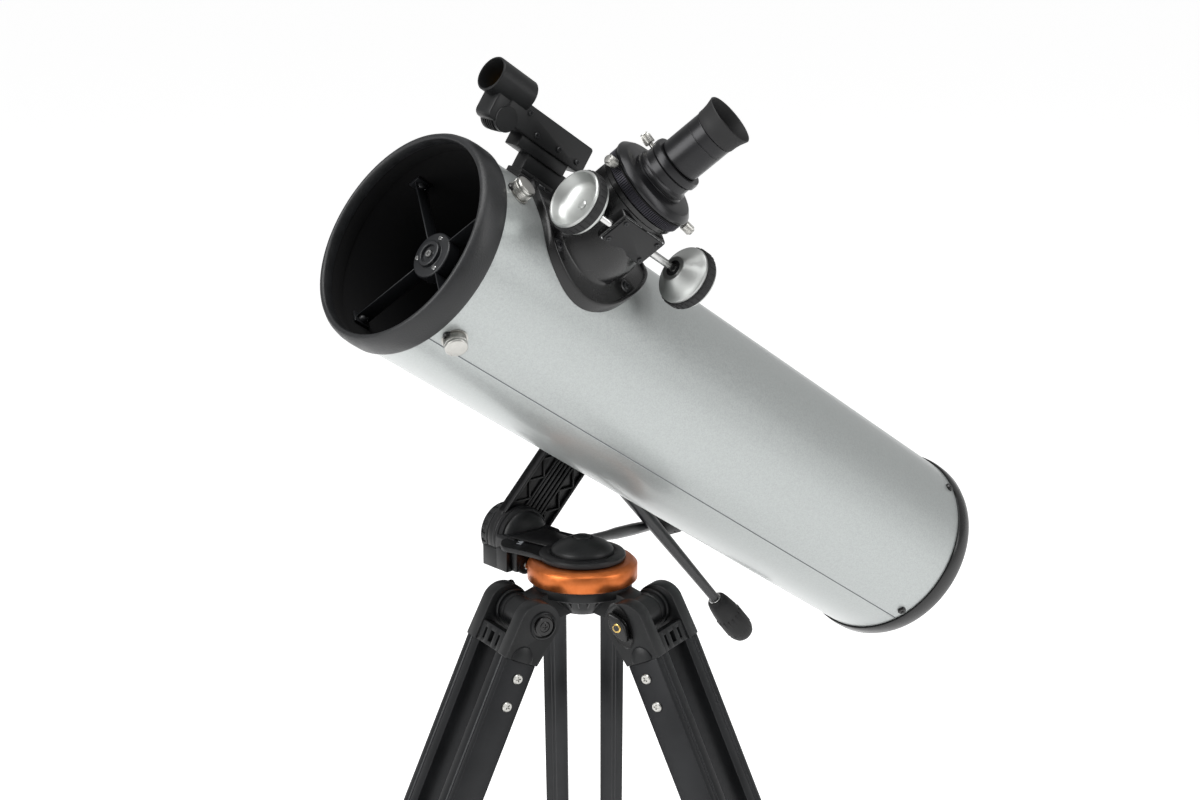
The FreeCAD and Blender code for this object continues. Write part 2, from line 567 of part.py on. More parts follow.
def rear_cell():
    """Closed black rear cap with its rim and the mirror support."""
    inner = TUBE_R - TUBE_WALL
    rim = turned([(inner - 3, TUBE_S0 + 12), (inner - 0.1, TUBE_S0 + 12), (inner - 0.1, TUBE_S0 - 0.2),
                  (TUBE_R + 2.0, TUBE_S0 - 0.2), (TUBE_R + 2.2, TUBE_S0 - 4), (TUBE_R + 0.4, CELL_REAR + 1),
                  (TUBE_R - 2, CELL_REAR), (inner - 3, CELL_REAR)], ORIGIN, X_AXIS)
    floor = bar(inner - 2, 5, Vec(CELL_REAR + 2, 0, 0), X_AXIS)
    pieces = [rim, floor]
    for angle in CELL_ANGLES:
        around = unit(angle, CELL_PCD / 2)
        offset = Vec(0, around.x, around.y)
        pieces.append(bar(6, 12, Vec(CELL_REAR + 6, 0, 0) + offset, X_AXIS))
        pieces.append(bar(7, 6, Vec(CELL_REAR - 4, 0, 0) + offset, X_AXIS))
    return fuse(pieces)


def primary_mirror():
    """Glass disc with a shallow concave front."""
    disc = bar(65, 17, Vec(CELL_REAR + 18.2, 0, 0), X_AXIS)
    bowl = Part.makeSphere(1300, Vec(CELL_REAR + 18.2 + 17 + 1300 - 1.6, 0, 0))
    return disc.cut(bowl)


def spider():
    hub = bar(18, 12, Vec(SPIDER_S - 5, 0, 0), X_AXIS)
    crown = bar(9, 2.5, Vec(SPIDER_S + 7, 0, 0), X_AXIS)
    parts = [hub, crown]
    for k in range(4):
        vane = block(-6, 6, -0.5, 0.5, 16, TUBE_R - TUBE_WALL - 0.2)
        foot = block(-7, 7, -6, 6, TUBE_R - TUBE_WALL - 3.2, TUBE_R - TUBE_WALL - 0.4)
        parts.append(moved(fuse([vane, foot]), radial_frame(SPIDER_S, SCREW_PHI + 90 * k)))
    stalk = bar(6, 48, Vec(SPIDER_S - 52, 0, 0), X_AXIS)
    return fuse(parts + [stalk])


def spider_nuts():
    nut = bar(8.5, 9, Vec(0, 0, TUBE_R + 0.3)).fuse(bar(2.5, 4, Vec(0, 0, TUBE_R - TUBE_WALL - 0.2)))
    return [moved(nut, radial_frame(SPIDER_S, SCREW_PHI + 90 * k)) for k in range(4)]


def secondary_mirror():
    """Elliptical flat at 45 degrees on the end of its stalk, cut from a rod."""
    rod = bar(19, 60, Vec(FOCUS_S - 24, 0, 0), X_AXIS)
    lean = FreeCAD.Placement(Vec(FOCUS_S, 0, 0), FreeCAD.Rotation(X_AXIS, -FOCUS_PHI))
    lean = lean.multiply(FreeCAD.Placement(ORIGIN, FreeCAD.Rotation(Y_AXIS, 45)))
    keep = block(1.2, 7, -60, 60, -60, 60)
    return rod.common(moved(keep, lean))


def secondary_holder_cut():
    lean = FreeCAD.Placement(Vec(FOCUS_S, 0, 0), FreeCAD.Rotation(X_AXIS, -FOCUS_PHI))
    lean = lean.multiply(FreeCAD.Placement(ORIGIN, FreeCAD.Rotation(Y_AXIS, 45)))
    return moved(block(-60, 7.2, -60, 60, -60, 60), lean)


def small_screw(radius, height):
    head = [(0, 0), (radius, 0), (radius, height * 0.5), (radius * 0.7, height), (0, height)]
    return turned(head, Vec(0, 0, TUBE_R + 0.05), Z_AXIS)


def tube_screws():
    stations = [(s, SCREW_PHI + 90 * k) for k in range(4) for s in (FRONT_SCREW_S, REAR_SCREW_S)]
    return [moved(small_screw(3.4, 2.4), radial_frame(s, phi)) for s, phi in stations]


# ---------------------------------------------------------------- focuser (z along the drawtube, x forward)
def focuser_skirt(margin):
    """Thin pad that follows the tube round the foot of the focuser."""
    outline = [(58, -6), (55, 12), (46, 36), (26, 51), (2, 56), (-22, 50), (-42, 34), (-56, 16), (-62, 0),
               (-56, -16), (-42, -34), (-22, -50), (2, -56), (26, -51), (46, -36), (55, -20)]
    grow = 1 + margin / 56
    pad = prism([Vec(x * grow, y * grow, 30) for x, y in outline], 75, Z_AXIS)
    shell = pipe(TUBE_R + 5 + margin, TUBE_R + 0.05 - margin, 300, Vec(-150, 0, 0), X_AXIS)
    return pad.common(shell)


def focuser_taper(margin):
    cone = Part.makeCone(44 + margin, 33 + margin, 32, Vec(0, 0, 76), Z_AXIS)
    return cone.cut(bar(TUBE_R + 0.05, 300, Vec(-150, 0, 0), X_AXIS))


def focuser_body():
    skirt = focuser_skirt(0)
    taper = focuser_taper(0)
    tower = bar(33, 31.5, Vec(0, 0, 104))
    housing = block(-23, 21, 12, SHAFT_Y + 3.6, SHAFT_Q - 11, SHAFT_Q + 13)
    cover = block(-19.5, 18.5, SHAFT_Y + 3.6, SHAFT_Y + 5.2, SHAFT_Q - 9, SHAFT_Q + 11.5)
    body = fuse([skirt, taper, tower, housing, cover])
    throat = bar(25.4, 90, Vec(0, 0, 60))
    shaft_bore = bar(SHAFT_R + RUN_FIT, 80, Vec(KNOB_MID - 40, SHAFT_Y, SHAFT_Q), X_AXIS)
    return cut(body, [throat, shaft_bore])


def focus_knobs():
    shaft = bar(SHAFT_R, 92, Vec(KNOB_MID - 46, SHAFT_Y, SHAFT_Q), X_AXIS)
    knobs = [shaft]
    for side in (-1, 1):
        profile = [(0, 44), (6, 44), (9, 38), (11, 37.5), (19.5, 53), (22, 54), (22.5, 55.5), (22.5, 65.5),
                   (21.8, 67.3), (19.8, 67.3), (16, 61), (8, 57), (0, 57)]
        knobs.append(turned(profile, Vec(KNOB_MID, SHAFT_Y, SHAFT_Q), X_AXIS * side))
    return fuse(knobs)


def drawtube():
    """Sliding tube with its flange above the tower."""
    wall = pipe(25, 21, 76, Vec(0, 0, 70))
    flange = turned([(21, 144), (34, 144), (36, 145.2), (37.3, 145.2), (37.3, 147.2), (32.5, 151.3), (21, 151.3)],
                    ORIGIN, Z_AXIS)
    return fuse([wall, flange])


def knurled_ring():
    return pipe(36.4, 25.4, 7.4, Vec(0, 0, 136.0))


def eyepiece_holder():
    return turned([(21.4, 151.5), (21.4, 157), (20.2, 157.6), (20.2, 166), (21.2, 168), (20.6, 171.5), (16.1, 171.5),
                   (16.1, 140), (20.8, 140), (20.8, 151.5)], ORIGIN, Z_AXIS)


def clamp_screws():
    screws = []
    for angle, q, reach in ((5, 142.4, 36.8), (161, 139.7, 36.8), (-52, 162, 20.4)):
        outward = unit(angle)
        start = outward * reach + Vec(0, 0, q)
        screws.append(turned([(0, 0), (1.8, 0), (1.8, 3), (3.9, 3), (3.9, 11), (3.2, 12), (0, 12)], start, outward))
    return screws


def eyepiece():
    body = turned([(0, 152), (15.85, 152), (15.85, 171.8), (17.3, 171.8), (17.3, 204), (16.5, 205), (16.5, 210),
                   (12, 212), (0, 212)], ORIGIN, Z_AXIS)
    return body


def eyecup():
    return turned([(16.6, 205.2), (18.4, 205.2), (19.2, 209), (20.2, 219), (19.2, 220), (17.4, 219), (16.6, 210.5)],
                  ORIGIN, Z_AXIS)


# ---------------------------------------------------------------- finder (z out from the tube, x forward)
def finder_bracket():
    shoe = block(-31, 13, -15, 15, TUBE_R - 4, TUBE_R + 8).cut(bar(TUBE_R + 0.05, 200, Vec(-100, 0, 0), X_AXIS))
    foot = block(-29, 11, -9, 9, TUBE_R + 8, TUBE_R + 20)
    return fuse([shoe, foot])


def finder_body():
    floor_q = TUBE_R + 20.2
    rail = block(-41, 46, -10, 10, floor_q + 8, floor_q + 29.5)
    rail = rail.cut(bar(FINDER_TUBE_R - 0.5, 60, Vec(20, 0, FINDER_Q), X_AXIS))
    nose = turned([(0, 0), (9.5, 0), (9.5, 12), (7.5, 18), (0, 18)], Vec(42, 0, floor_q + 20), -Z_AXIS)
    neck = block(-28, 22, -8, 8, floor_q, floor_q + 9)
    sight = pipe(FINDER_TUBE_R, FINDER_TUBE_R - 1.6, 36, Vec(30, 0, FINDER_Q), X_AXIS)
    seat = block(30, 58, -9, 9, floor_q + 14, FINDER_Q - FINDER_TUBE_R + 2.2)
    seat = seat.cut(bar(FINDER_TUBE_R - 0.5, 60, Vec(20, 0, FINDER_Q), X_AXIS))
    return fuse([rail, nose, neck, sight, seat])


# ---------------------------------------------------------------- build
os.makedirs("parts", exist_ok=True)

export("tripod_hub", tripod_hub())
export("azimuth_ring", azimuth_ring())
pivots = [leg_frame(azimuth) for azimuth in LEG_AZIMUTHS]
export("pivot_bolts", [moved(pivot_bolt(), frame) for frame in pivots])
export("pivot_wing_nuts", [moved(pivot_wing_nut(), frame) for frame in pivots])
for number, azimuth in enumerate(LEG_AZIMUTHS, 1):
    frame = pivots[number - 1]
    prefix = "leg_%d_" % number
    clamp, brace_bracket = leg_clamp()
    export(prefix + "head", [moved(leg_head(), frame)])
    export(prefix + "rails", [moved(rail, frame) for rail in leg_rails()])
    export(prefix + "screws", [moved(screw, frame) for screw in leg_screws()])
    export(prefix + "clamp", [moved(clamp, frame), moved(brace_bracket, frame)])
    export(prefix + "extension", [moved(leg_extension(), frame)])
    export(prefix + "foot", [leg_foot(frame)])
    export(prefix + "lock", [moved(leg_lock(), frame)])
    export("brace_%d_strut" % number, [brace_strut(azimuth)])
export("brace_hub", [brace_hub()])
export("accessory_tray", [accessory_tray()])

export("azimuth_base", [azimuth_base()])
export("top_cap", [top_cap()])
export("azimuth_worm_box", [azimuth_worm_box()])
export("hinge_cap", [hinge_cap()])
export("azimuth_rod", [azimuth_rod()])
export("azimuth_grip", [azimuth_grip()])
export("mount_arm", [mount_arm()])
export("fold_lock", [fold_lock()])
export("altitude_rod", [altitude_rod()])
export("altitude_grip", [altitude_grip()])

ota = tube_frame()
export("saddle", [moved(saddle(), ota)])
export("saddle_knob", [moved(saddle_knob(), ota)])
export("dovetail_bar", [moved(dovetail_bar(), ota)])
export("tube", [moved(tube_shell(), ota)])
export("front_ring", [moved(front_ring(), ota)])
export("rear_cell", [moved(rear_cell(), ota)])
export("primary_mirror", [moved(primary_mirror(), ota)])
export("spider", [moved(spider().cut(secondary_holder_cut()), ota)])
export("secondary_mirror", [moved(secondary_mirror(), ota)])
export("tube_fasteners", [moved(piece, ota) for piece in tube_screws() + spider_nuts()])

focus = ota.multiply(radial_frame(FOCUS_S, FOCUS_PHI))
export("focuser_body", [moved(focuser_body(), focus)])
export("focus_knobs", [moved(focus_knobs(), focus)])
export("drawtube", [moved(drawtube(), focus)])
export("knurled_ring", [moved(knurled_ring(), focus)])
export("eyepiece_holder", [moved(eyepiece_holder(), focus)])
export("clamp_screws", [moved(screw, focus) for screw in clamp_screws()])
export("eyepiece", [moved(eyepiece(), focus)])
export("eyecup", [moved(eyecup(), focus)])

sight = ota.multiply(radial_frame(127, FINDER_PHI))
keepout = fuse([moved(focuser_skirt(0.3), focus), moved(focuser_taper(0.3), focus)])
export("finder_bracket", [moved(finder_bracket(), sight).cut(keepout)])
export("finder_body", [moved(finder_body(), sight)])
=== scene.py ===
# %% [markdown]
# # A Newtonian reflector on a single-arm head and a folding tripod
# The CAD model gives every piece its place. This lesson dresses that frame: it makes the materials first,
# then swaps the plain CAD solids for pieces with the edges, screws and ribs that the real castings have.

# %% Load the frame
import json
import math
import bmesh
import bpy
from mathutils import Matrix, Vector


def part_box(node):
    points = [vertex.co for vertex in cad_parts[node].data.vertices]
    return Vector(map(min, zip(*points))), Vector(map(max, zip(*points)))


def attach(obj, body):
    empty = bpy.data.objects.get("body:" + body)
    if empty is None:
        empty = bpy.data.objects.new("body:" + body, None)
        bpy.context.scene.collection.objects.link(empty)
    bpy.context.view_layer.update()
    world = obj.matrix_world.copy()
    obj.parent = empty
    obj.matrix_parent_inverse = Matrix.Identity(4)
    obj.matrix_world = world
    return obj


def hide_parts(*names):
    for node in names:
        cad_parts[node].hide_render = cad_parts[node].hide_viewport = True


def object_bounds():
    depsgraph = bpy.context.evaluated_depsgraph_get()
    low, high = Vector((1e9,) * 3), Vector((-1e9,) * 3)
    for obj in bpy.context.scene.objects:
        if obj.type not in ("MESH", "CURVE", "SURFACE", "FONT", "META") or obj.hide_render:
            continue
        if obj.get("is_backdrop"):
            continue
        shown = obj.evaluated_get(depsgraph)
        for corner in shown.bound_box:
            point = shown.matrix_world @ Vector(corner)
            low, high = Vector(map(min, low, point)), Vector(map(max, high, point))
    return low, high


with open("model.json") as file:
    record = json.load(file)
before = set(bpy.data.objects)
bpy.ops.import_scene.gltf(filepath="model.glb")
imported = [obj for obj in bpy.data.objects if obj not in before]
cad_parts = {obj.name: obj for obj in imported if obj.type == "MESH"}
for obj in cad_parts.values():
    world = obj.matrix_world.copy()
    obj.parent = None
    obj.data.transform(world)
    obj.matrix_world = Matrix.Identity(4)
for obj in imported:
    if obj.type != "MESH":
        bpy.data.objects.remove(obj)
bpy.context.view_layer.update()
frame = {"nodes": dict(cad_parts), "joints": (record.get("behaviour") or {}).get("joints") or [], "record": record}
MM = 0.001
joints = {joint["name"]: joint for joint in frame["joints"]}
mounts = {mount["name"]: mount for mount in frame["record"]["mounts"]}

# %% [markdown]
# A piece is easier to draw in its own frame: the focuser stands square to its tube, and a leg hangs straight
# down. Each frame is a matrix built from the joints of the record, so a piece lands where the CAD part is.

# %% Local frames
def place(origin, x_axis, z_axis):
    """Matrix of a right-handed local frame, in metres."""
    x = Vector(x_axis).normalized()
    z = Vector(z_axis).normalized()
    y = z.cross(x)
    matrix = Matrix((x, y, z)).transposed().to_4x4()
    matrix.translation = Vector(origin)
    return matrix


def shifted(matrix, x=0.0, y=0.0, z=0.0):
    """The same frame moved along its own axes by millimetres."""
    return matrix @ Matrix.Translation(Vector((x, y, z)) * MM)


def turned(matrix, degrees, axis):
    return matrix @ Matrix.Rotation(math.radians(degrees), 4, axis)


def along_z(matrix, direction):
    """The same origin with local Z laid along a direction given in that frame."""
    rotation = Vector(direction).to_track_quat("Z", "Y").to_matrix().to_4x4()
    return matrix @ rotation


WORLD = Matrix.Identity(4)
LEGS = (1, 2, 3)
forward = Vector(joints["focus_turn"]["axis"])
outward = Vector(joints["focus_travel"]["axis"])
APERTURE_S = 193.5
FOCUS_S = 84.5
SHAFT = Vector((-6.0, 29.0, 113.7))
tube_origin = Vector(mounts["front_aperture"]["pos_m"]) - forward * APERTURE_S * MM
side = Vector((0, -1, 0))
TUBE = place(tube_origin, forward, forward.cross(side))
FOCUS = place(tube_origin + forward * FOCUS_S * MM, forward, outward)
RING = Matrix.Translation(Vector((0, 0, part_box("azimuth_ring")[0].z)))


def leg_frame(number):
    spread = joints[f"leg_{number}_spread"]
    up = -Vector(joints[f"leg_{number}_extend"]["axis"])
    return place(spread["pos_m"], Vector(spread["axis"]).cross(up), up)


def radial(station, phi):
    """On the tube axis, local Z pointing out at an angle from the top of the tube."""
    return turned(shifted(TUBE, station), -phi, "X")


hinge_point = Vector(joints["arm_fold"]["pos_m"])
altitude_point = Vector(joints["altitude"]["pos_m"])
arm_up = (altitude_point - hinge_point).normalized()
ARM = place(Vector((hinge_point.x, 0, hinge_point.z)), Vector((0, 1, 0)).cross(arm_up), arm_up)
print("tube axis starts at", tube_origin, "arm leans along", arm_up)

# %% [markdown]
# One function adds a node and sets it, and one turns an sRGB hex colour into the linear values that the
# shader works in. Every pattern is sized in millimetres of the real surface.

# %% Material helpers
def linear(hex_colour):
    """Linear RGBA from an sRGB hex string."""
    values = [int(hex_colour[k:k + 2], 16) / 255 for k in (0, 2, 4)]
    return tuple(v / 12.92 if v <= 0.04045 else ((v + 0.055) / 1.055) ** 2.4 for v in values) + (1.0,)


def node(tree, kind, inputs=(), **attributes):
    """Adds a shader node, sets its attributes and the sockets given as values or as linked outputs."""
    made = tree.nodes.new(kind)
    for key, value in attributes.items():
        setattr(made, key, value)
    for key, value in dict(inputs).items():
        if isinstance(value, bpy.types.NodeSocket):
            tree.links.new(value, made.inputs[key])
        else:
            made.inputs[key].default_value = value
    return made


def surface(name, colour, roughness, metallic=0.0, **sockets):
    """A Principled material with its fixed values set straight on the shader."""
    material = bpy.data.materials.new(name)
    material.use_nodes = True
    shader = material.node_tree.nodes["Principled BSDF"]
    shader.inputs["Base Color"].default_value = linear(colour)
    shader.inputs["Roughness"].default_value = roughness
    shader.inputs["Metallic"].default_value = metallic
    for key, value in sockets.items():
        shader.inputs[key.replace("_", " ")].default_value = value
    material.diffuse_color = linear(colour)
    return material


def grain(material, size_mm, height_mm, stretch=(1, 1, 1), detail=2.0, cells=False, strength=1.0):
    """Bump of grains about size_mm across and height_mm deep, stretched along the object's axes."""
    tree = material.node_tree
    shader = tree.nodes["Principled BSDF"]
    place_on = node(tree, "ShaderNodeTexCoord")
    mapping = node(tree, "ShaderNodeMapping", {"Vector": place_on.outputs["Object"], "Scale": stretch})
    scale = 1 / (size_mm * MM)
    if cells:
        pattern = node(tree, "ShaderNodeTexVoronoi", {"Vector": mapping.outputs[0], "Scale": scale})
    else:
        pattern = node(tree, "ShaderNodeTexNoise",
                       {"Vector": mapping.outputs[0], "Scale": scale, "Detail": detail})
    bump = node(tree, "ShaderNodeBump", {"Height": pattern.outputs[0], "Distance": height_mm * MM,
                                         "Strength": strength})
    tree.links.new(bump.outputs[0], shader.inputs["Normal"])
    return mapping


def mottle(material, size_mm, dark, light, roughness=None, detail=4.0):
    """Slow colour variation between two hex colours, and the same pattern in the roughness."""
    tree = material.node_tree
    shader = tree.nodes["Principled BSDF"]
    place_on = node(tree, "ShaderNodeTexCoord")
    pattern = node(tree, "ShaderNodeTexNoise", {"Vector": place_on.outputs["Object"],
                                                "Scale": 1 / (size_mm * MM), "Detail": detail})
    ramp = node(tree, "ShaderNodeValToRGB", {"Fac": pattern.outputs[0]})
    ramp.color_ramp.elements[0].position = 0.35
    ramp.color_ramp.elements[1].position = 0.65
    ramp.color_ramp.elements[0].color = linear(dark)
    ramp.color_ramp.elements[1].color = linear(light)
    tree.links.new(ramp.outputs[0], shader.inputs["Base Color"])
    if roughness is not None:
        spread = node(tree, "ShaderNodeMapRange",
                      {"Value": pattern.outputs[0], "From Min": 0.3, "From Max": 0.7,
                                                   "To Min": roughness[0], "To Max": roughness[1]})
        tree.links.new(spread.outputs[0], shader.inputs["Roughness"])

# %% [markdown]
# The tube wears silver-grey metallic paint. Its flakes lie in clusters just under a millimetre across. A cell
# pattern in the colour and the roughness gives their sparkle better than a bump would.

# %% Tube paint
paint = surface("metallic_paint_sprayed_silver", "A0A3A3", 0.36, 0.6, Coat_Weight=0.3, Coat_Roughness=0.15)
FLAKE_MM = 0.9
paint_tree = paint.node_tree
paint_place = node(paint_tree, "ShaderNodeTexCoord")
flakes = node(paint_tree, "ShaderNodeTexVoronoi",
              {"Vector": paint_place.outputs["Object"], "Scale": 1 / (FLAKE_MM * MM)})
flake_tone = node(paint_tree, "ShaderNodeValToRGB", {"Fac": flakes.outputs["Color"]})
flake_tone.color_ramp.elements[0].color = linear("989C9B")
flake_tone.color_ramp.elements[1].color = linear("A8ACAB")
paint_tree.links.new(flake_tone.outputs[0], paint_tree.nodes["Principled BSDF"].inputs["Base Color"])
flake_gloss = node(paint_tree, "ShaderNodeMapRange",
                   {"Value": flakes.outputs["Color"], "To Min": 0.3, "To Max": 0.44})
paint_tree.links.new(flake_gloss.outputs[0], paint_tree.nodes["Principled BSDF"].inputs["Roughness"])
print("paint flakes every", FLAKE_MM, "mm")

# %% [markdown]
# Black finishes sit side by side and must read apart: glass-filled nylon with a fine matte grain, glossy
# moulded ABS, pebbled ABS, powder-coated casting, soft rubber and the flat paint inside the tube.

# %% Black finishes
# Glass-filled nylon from a spark-eroded mould: soft sheen and a grain of 0.7 mm.
nylon = surface("nylon_moulded_black", "0F1011", 0.42, Specular_IOR_Level=0.3)
mottle(nylon, 14, "0D0E0F", "111213", (0.39, 0.45))
grain(nylon, 0.7, 0.012)

# ABS from a polished mould: clear highlights with a faint waviness.
abs_black = surface("abs_moulded_satin_black", "0A0A0B", 0.27, Specular_IOR_Level=0.36, Coat_Weight=0.1,
                    Coat_Roughness=0.15)
mottle(abs_black, 20, "090909", "0C0C0D", (0.24, 0.3))
grain(abs_black, 3.0, 0.01)

# Powder coat on the castings: slight orange peel of about 1.5 mm.
powder = surface("steel_powder_coated_black", "0B0B0D", 0.38, Specular_IOR_Level=0.3)
mottle(powder, 18, "0A0A0B", "0E0E10", (0.35, 0.41))
grain(powder, 1.5, 0.02)

# The front ring is moulded with a leather-like pebble of about 1.3 mm.
pebble = surface("abs_moulded_pebbled", "141517", 0.46, Specular_IOR_Level=0.4)
mottle(pebble, 9, "101112", "141517", (0.4, 0.48))
grain(pebble, 1.3, 0.12, cells=True, strength=0.6)

# Soft rubber on grips, eyecup and knob bands: dull, with a dusty tone.
rubber = surface("rubber_moulded_black", "1A1A1B", 0.68, Specular_IOR_Level=0.35)
mottle(rubber, 11, "101011", "141415", (0.58, 0.66))
grain(rubber, 0.8, 0.02)

# Flat black paint inside the tube swallows stray light. The same black also serves as painted shade in the hollow
# ends of the focus knobs.
flat_black = surface("paint_flat_black_and_hollow_shade", "0B0B0C", 0.85, Specular_IOR_Level=0.2)
grain(flat_black, 1.0, 0.02)
print("black finishes ready")

# %% [markdown]
# The metals: extruded and anodised rails with lines along the draw, the orange ring turned on a lathe,
# nickel-plated screws, turned aluminium knobs and the aluminised mirrors.

# %% Metals
rail_black = surface("aluminium_anodised_black", "17181A", 0.34, 0.5)
mottle(rail_black, 30, "151618", "1A1B1D", (0.32, 0.36))
grain(rail_black, 0.5, 0.006, stretch=(1, 1, 0.02))

# Anodised orange, turned: lathe lines run round the ring, so the pattern is long in X and Y and fine in Z.
orange = surface("aluminium_anodised_orange", "B96535", 0.36, 0.9)
mottle(orange, 5, "B3602F", "BE6A38", (0.33, 0.4))
grain(orange, 0.5, 0.02, stretch=(0.05, 0.05, 1))

# Anodised dark grey with a violet cast, straight knurl.
knurl_grey = surface("aluminium_anodised_violet_grey", "25242A", 0.38, 0.7)
grain(knurl_grey, 0.6, 0.006)

# Black anodised eyepiece barrel with faint turning lines round it.
eyepiece_black = surface("aluminium_anodised_satin_black", "161618", 0.3, 0.5)
mottle(eyepiece_black, 12, "151517", "18181A", (0.28, 0.33))
grain(eyepiece_black, 0.4, 0.006)

nickel = surface("steel_nickel_plated", "AEADA9", 0.3, 1.0)
mottle(nickel, 6, "A5A4A0", "B0AFAB", (0.27, 0.33))

satin_aluminium = surface("aluminium_turned_satin", "ABADAB", 0.42, 1.0)
grain(satin_aluminium, 0.4, 0.006)

steel = surface("steel_ground_bright", "B9B9B8", 0.22, 1.0)
grain(steel, 0.3, 0.004)
brass = surface("brass_turned", "D3B36A", 0.25, 1.0)
grain(brass, 0.4, 0.004)
mirror_glass = surface("glass_aluminised", "E6EAEC", 0.02, 1.0)
# Amber for the finder lens: a painted glint, the reflection of the lens coating given as a colour.
painted_amber_glint = surface("glass_painted_amber_glint", "D9A21B", 0.08, 0.0, Coat_Weight=1.0)
# A bright grey for the thin highlight along the lower edge of the pinion cover: a painted highlight, not a metal
# part.
painted_highlight_edge = surface("painted_edge_highlight_grey", "C9CACB", 0.25, 1.0)
print(len(bpy.data.materials), "materials")

# %% [markdown]
# Shapes are drawn in millimetres in a local frame and then placed. A turned part is a profile spun about
# its axis, a plate is an outline pushed to a thickness, and both get their sharp edges eased by a bevel,
# because no cast, moulded or turned edge is razor sharp.

# %% Shape helpers
def eased(bm, width, segments=2, over_degrees=28):
    """Bevels every edge whose faces meet at more than an angle."""
    bm.normal_update()
    sharp = [edge for edge in bm.edges
             if len(edge.link_faces) == 2 and edge.calc_face_angle(0) > math.radians(over_degrees)]
    if sharp and width > 0:
        bmesh.ops.bevel(bm, geom=sharp, offset=width, offset_type="OFFSET", segments=segments, profile=0.5,
                        affect="EDGES", material=-1, clamp_overlap=True)
    return bm


def spun(profile, steps=96, ease=0.0):
    """Solid of revolution about local Z from (radius, height) corners."""
    bm = bmesh.new()
    corners = [bm.verts.new((radius, 0, height)) for radius, height in profile]
    pairs = list(zip(corners, corners[1:] + corners[:1]))
    edges = [bm.edges.new(pair) for pair in pairs]
    bmesh.ops.spin(bm, geom=corners + edges, cent=(0, 0, 0), axis=(0, 0, 1), angle=2 * math.pi, steps=steps,
                   use_merge=True, use_duplicate=False)
    bmesh.ops.remove_doubles(bm, verts=bm.verts, dist=1e-4)
    bmesh.ops.dissolve_degenerate(bm, dist=1e-5, edges=bm.edges)
    bmesh.ops.recalc_face_normals(bm, faces=bm.faces)
    return eased(bm, ease)


def plate(outline, z0, z1, ease=0.0, segments=2, inset=None):
    """Flat outline of (x, y) corners pushed from z0 to z1; inset = (margin, depth) sinks the top face."""
    bm = bmesh.new()
    face = bm.faces.new([bm.verts.new((x, y, z0)) for x, y in outline])
    pushed = bmesh.ops.extrude_face_region(bm, geom=[face], use_keep_orig=True)["geom"]
    moved = [item for item in pushed if isinstance(item, bmesh.types.BMVert)]
    bmesh.ops.translate(bm, vec=(0, 0, z1 - z0), verts=moved)
    bmesh.ops.recalc_face_normals(bm, faces=bm.faces)
    if inset:
        top = [f for f in bm.faces if all(abs(v.co.z - z1) < 1e-5 for v in f.verts)]
        bmesh.ops.inset_region(bm, faces=top, thickness=inset[0], depth=0.0, use_even_offset=True)
        bmesh.ops.translate(bm, vec=(0, 0, -inset[1]), verts=list({v for f in top for v in f.verts}))
    return eased(bm, ease, segments)


def brick(x0, x1, y0, y1, z0, z1, ease=0.0):
    bm = bmesh.new()
    size = Matrix.Diagonal((x1 - x0, y1 - y0, z1 - z0, 1))
    centre = Matrix.Translation(((x0 + x1) / 2, (y0 + y1) / 2, (z0 + z1) / 2))
    bmesh.ops.create_cube(bm, size=1, matrix=centre @ size)
    return eased(bm, ease)


def rounded(width, height, radius, steps=6):
    """Outline of a rectangle with round corners, centred."""
    points = []
    for corner in range(4):
        sx, sy = ((1, 1), (-1, 1), (-1, -1), (1, -1))[corner]
        for k in range(steps + 1):
            angle = math.radians(90 * corner + 90 * k / steps)
            points.append((sx * (width / 2 - radius) + radius * math.cos(angle),
                           sy * (height / 2 - radius) + radius * math.sin(angle)))
    return points


def disc(radius, steps=48, start=0.0, sweep=360.0, x=0.0, y=0.0):
    """Corners on a circle or an arc."""
    last = 0 if sweep >= 360 else 1
    return [(x + radius * math.cos(math.radians(start + sweep * k / steps)),
             y + radius * math.sin(math.radians(start + sweep * k / steps))) for k in range(steps + last)]


def smooth_closed(corners, per_span=5):
    """Catmull-Rom curve through a closed list of (x, y) corners."""
    points = []
    count = len(corners)
    for k in range(count):
        p0, p1, p2, p3 = (Vector(corners[(k + j - 1) % count]) for j in range(4))
        for step in range(per_span):
            t = step / per_span
            point = 0.5 * (2 * p1 + (p2 - p0) * t + (2 * p0 - 5 * p1 + 4 * p2 - p3) * t * t
                           + (3 * p1 - p0 - 3 * p2 + p3) * t * t * t)
            points.append(tuple(point))
    return points


def lofted(rings):
    """Skin over rings of matching corners, each a list of (x, y, z)."""
    bm = bmesh.new()
    loops = []
    for ring in rings:
        verts = [bm.verts.new(point) for point in ring]
        loops.append([bm.edges.new((verts[k - 1], verts[k])) for k in range(len(verts))])
    for low, high in zip(loops, loops[1:]):
        bmesh.ops.bridge_loops(bm, edges=low + high)
    ends = [loops[0], loops[-1]]
    for loop in ends:
        bmesh.ops.holes_fill(bm, edges=loop, sides=len(loop))
    bmesh.ops.recalc_face_normals(bm, faces=bm.faces)
    return bm


def group(*parts):
    """One bmesh from several, each alone or as (bmesh, matrix in millimetres)."""
    whole = bmesh.new()
    for part in parts:
        bm, matrix = part if isinstance(part, tuple) else (part, Matrix.Identity(4))
        bmesh.ops.transform(bm, matrix=matrix, verts=bm.verts)
        carrier = bpy.data.meshes.new("carrier")
        bm.to_mesh(carrier)
        bm.free()
        whole.from_mesh(carrier)
        bpy.data.meshes.remove(carrier)
    return whole


def at(x=0.0, y=0.0, z=0.0, axis=None, spin=0.0):
    """Local placement in millimetres: local Z laid along an axis, then moved."""
    matrix = Matrix.Translation((x, y, z))
    if axis is not None:
        matrix = matrix @ Vector(axis).to_track_quat("Z", "Y").to_matrix().to_4x4()
    return matrix @ Matrix.Rotation(math.radians(spin), 4, "Z")


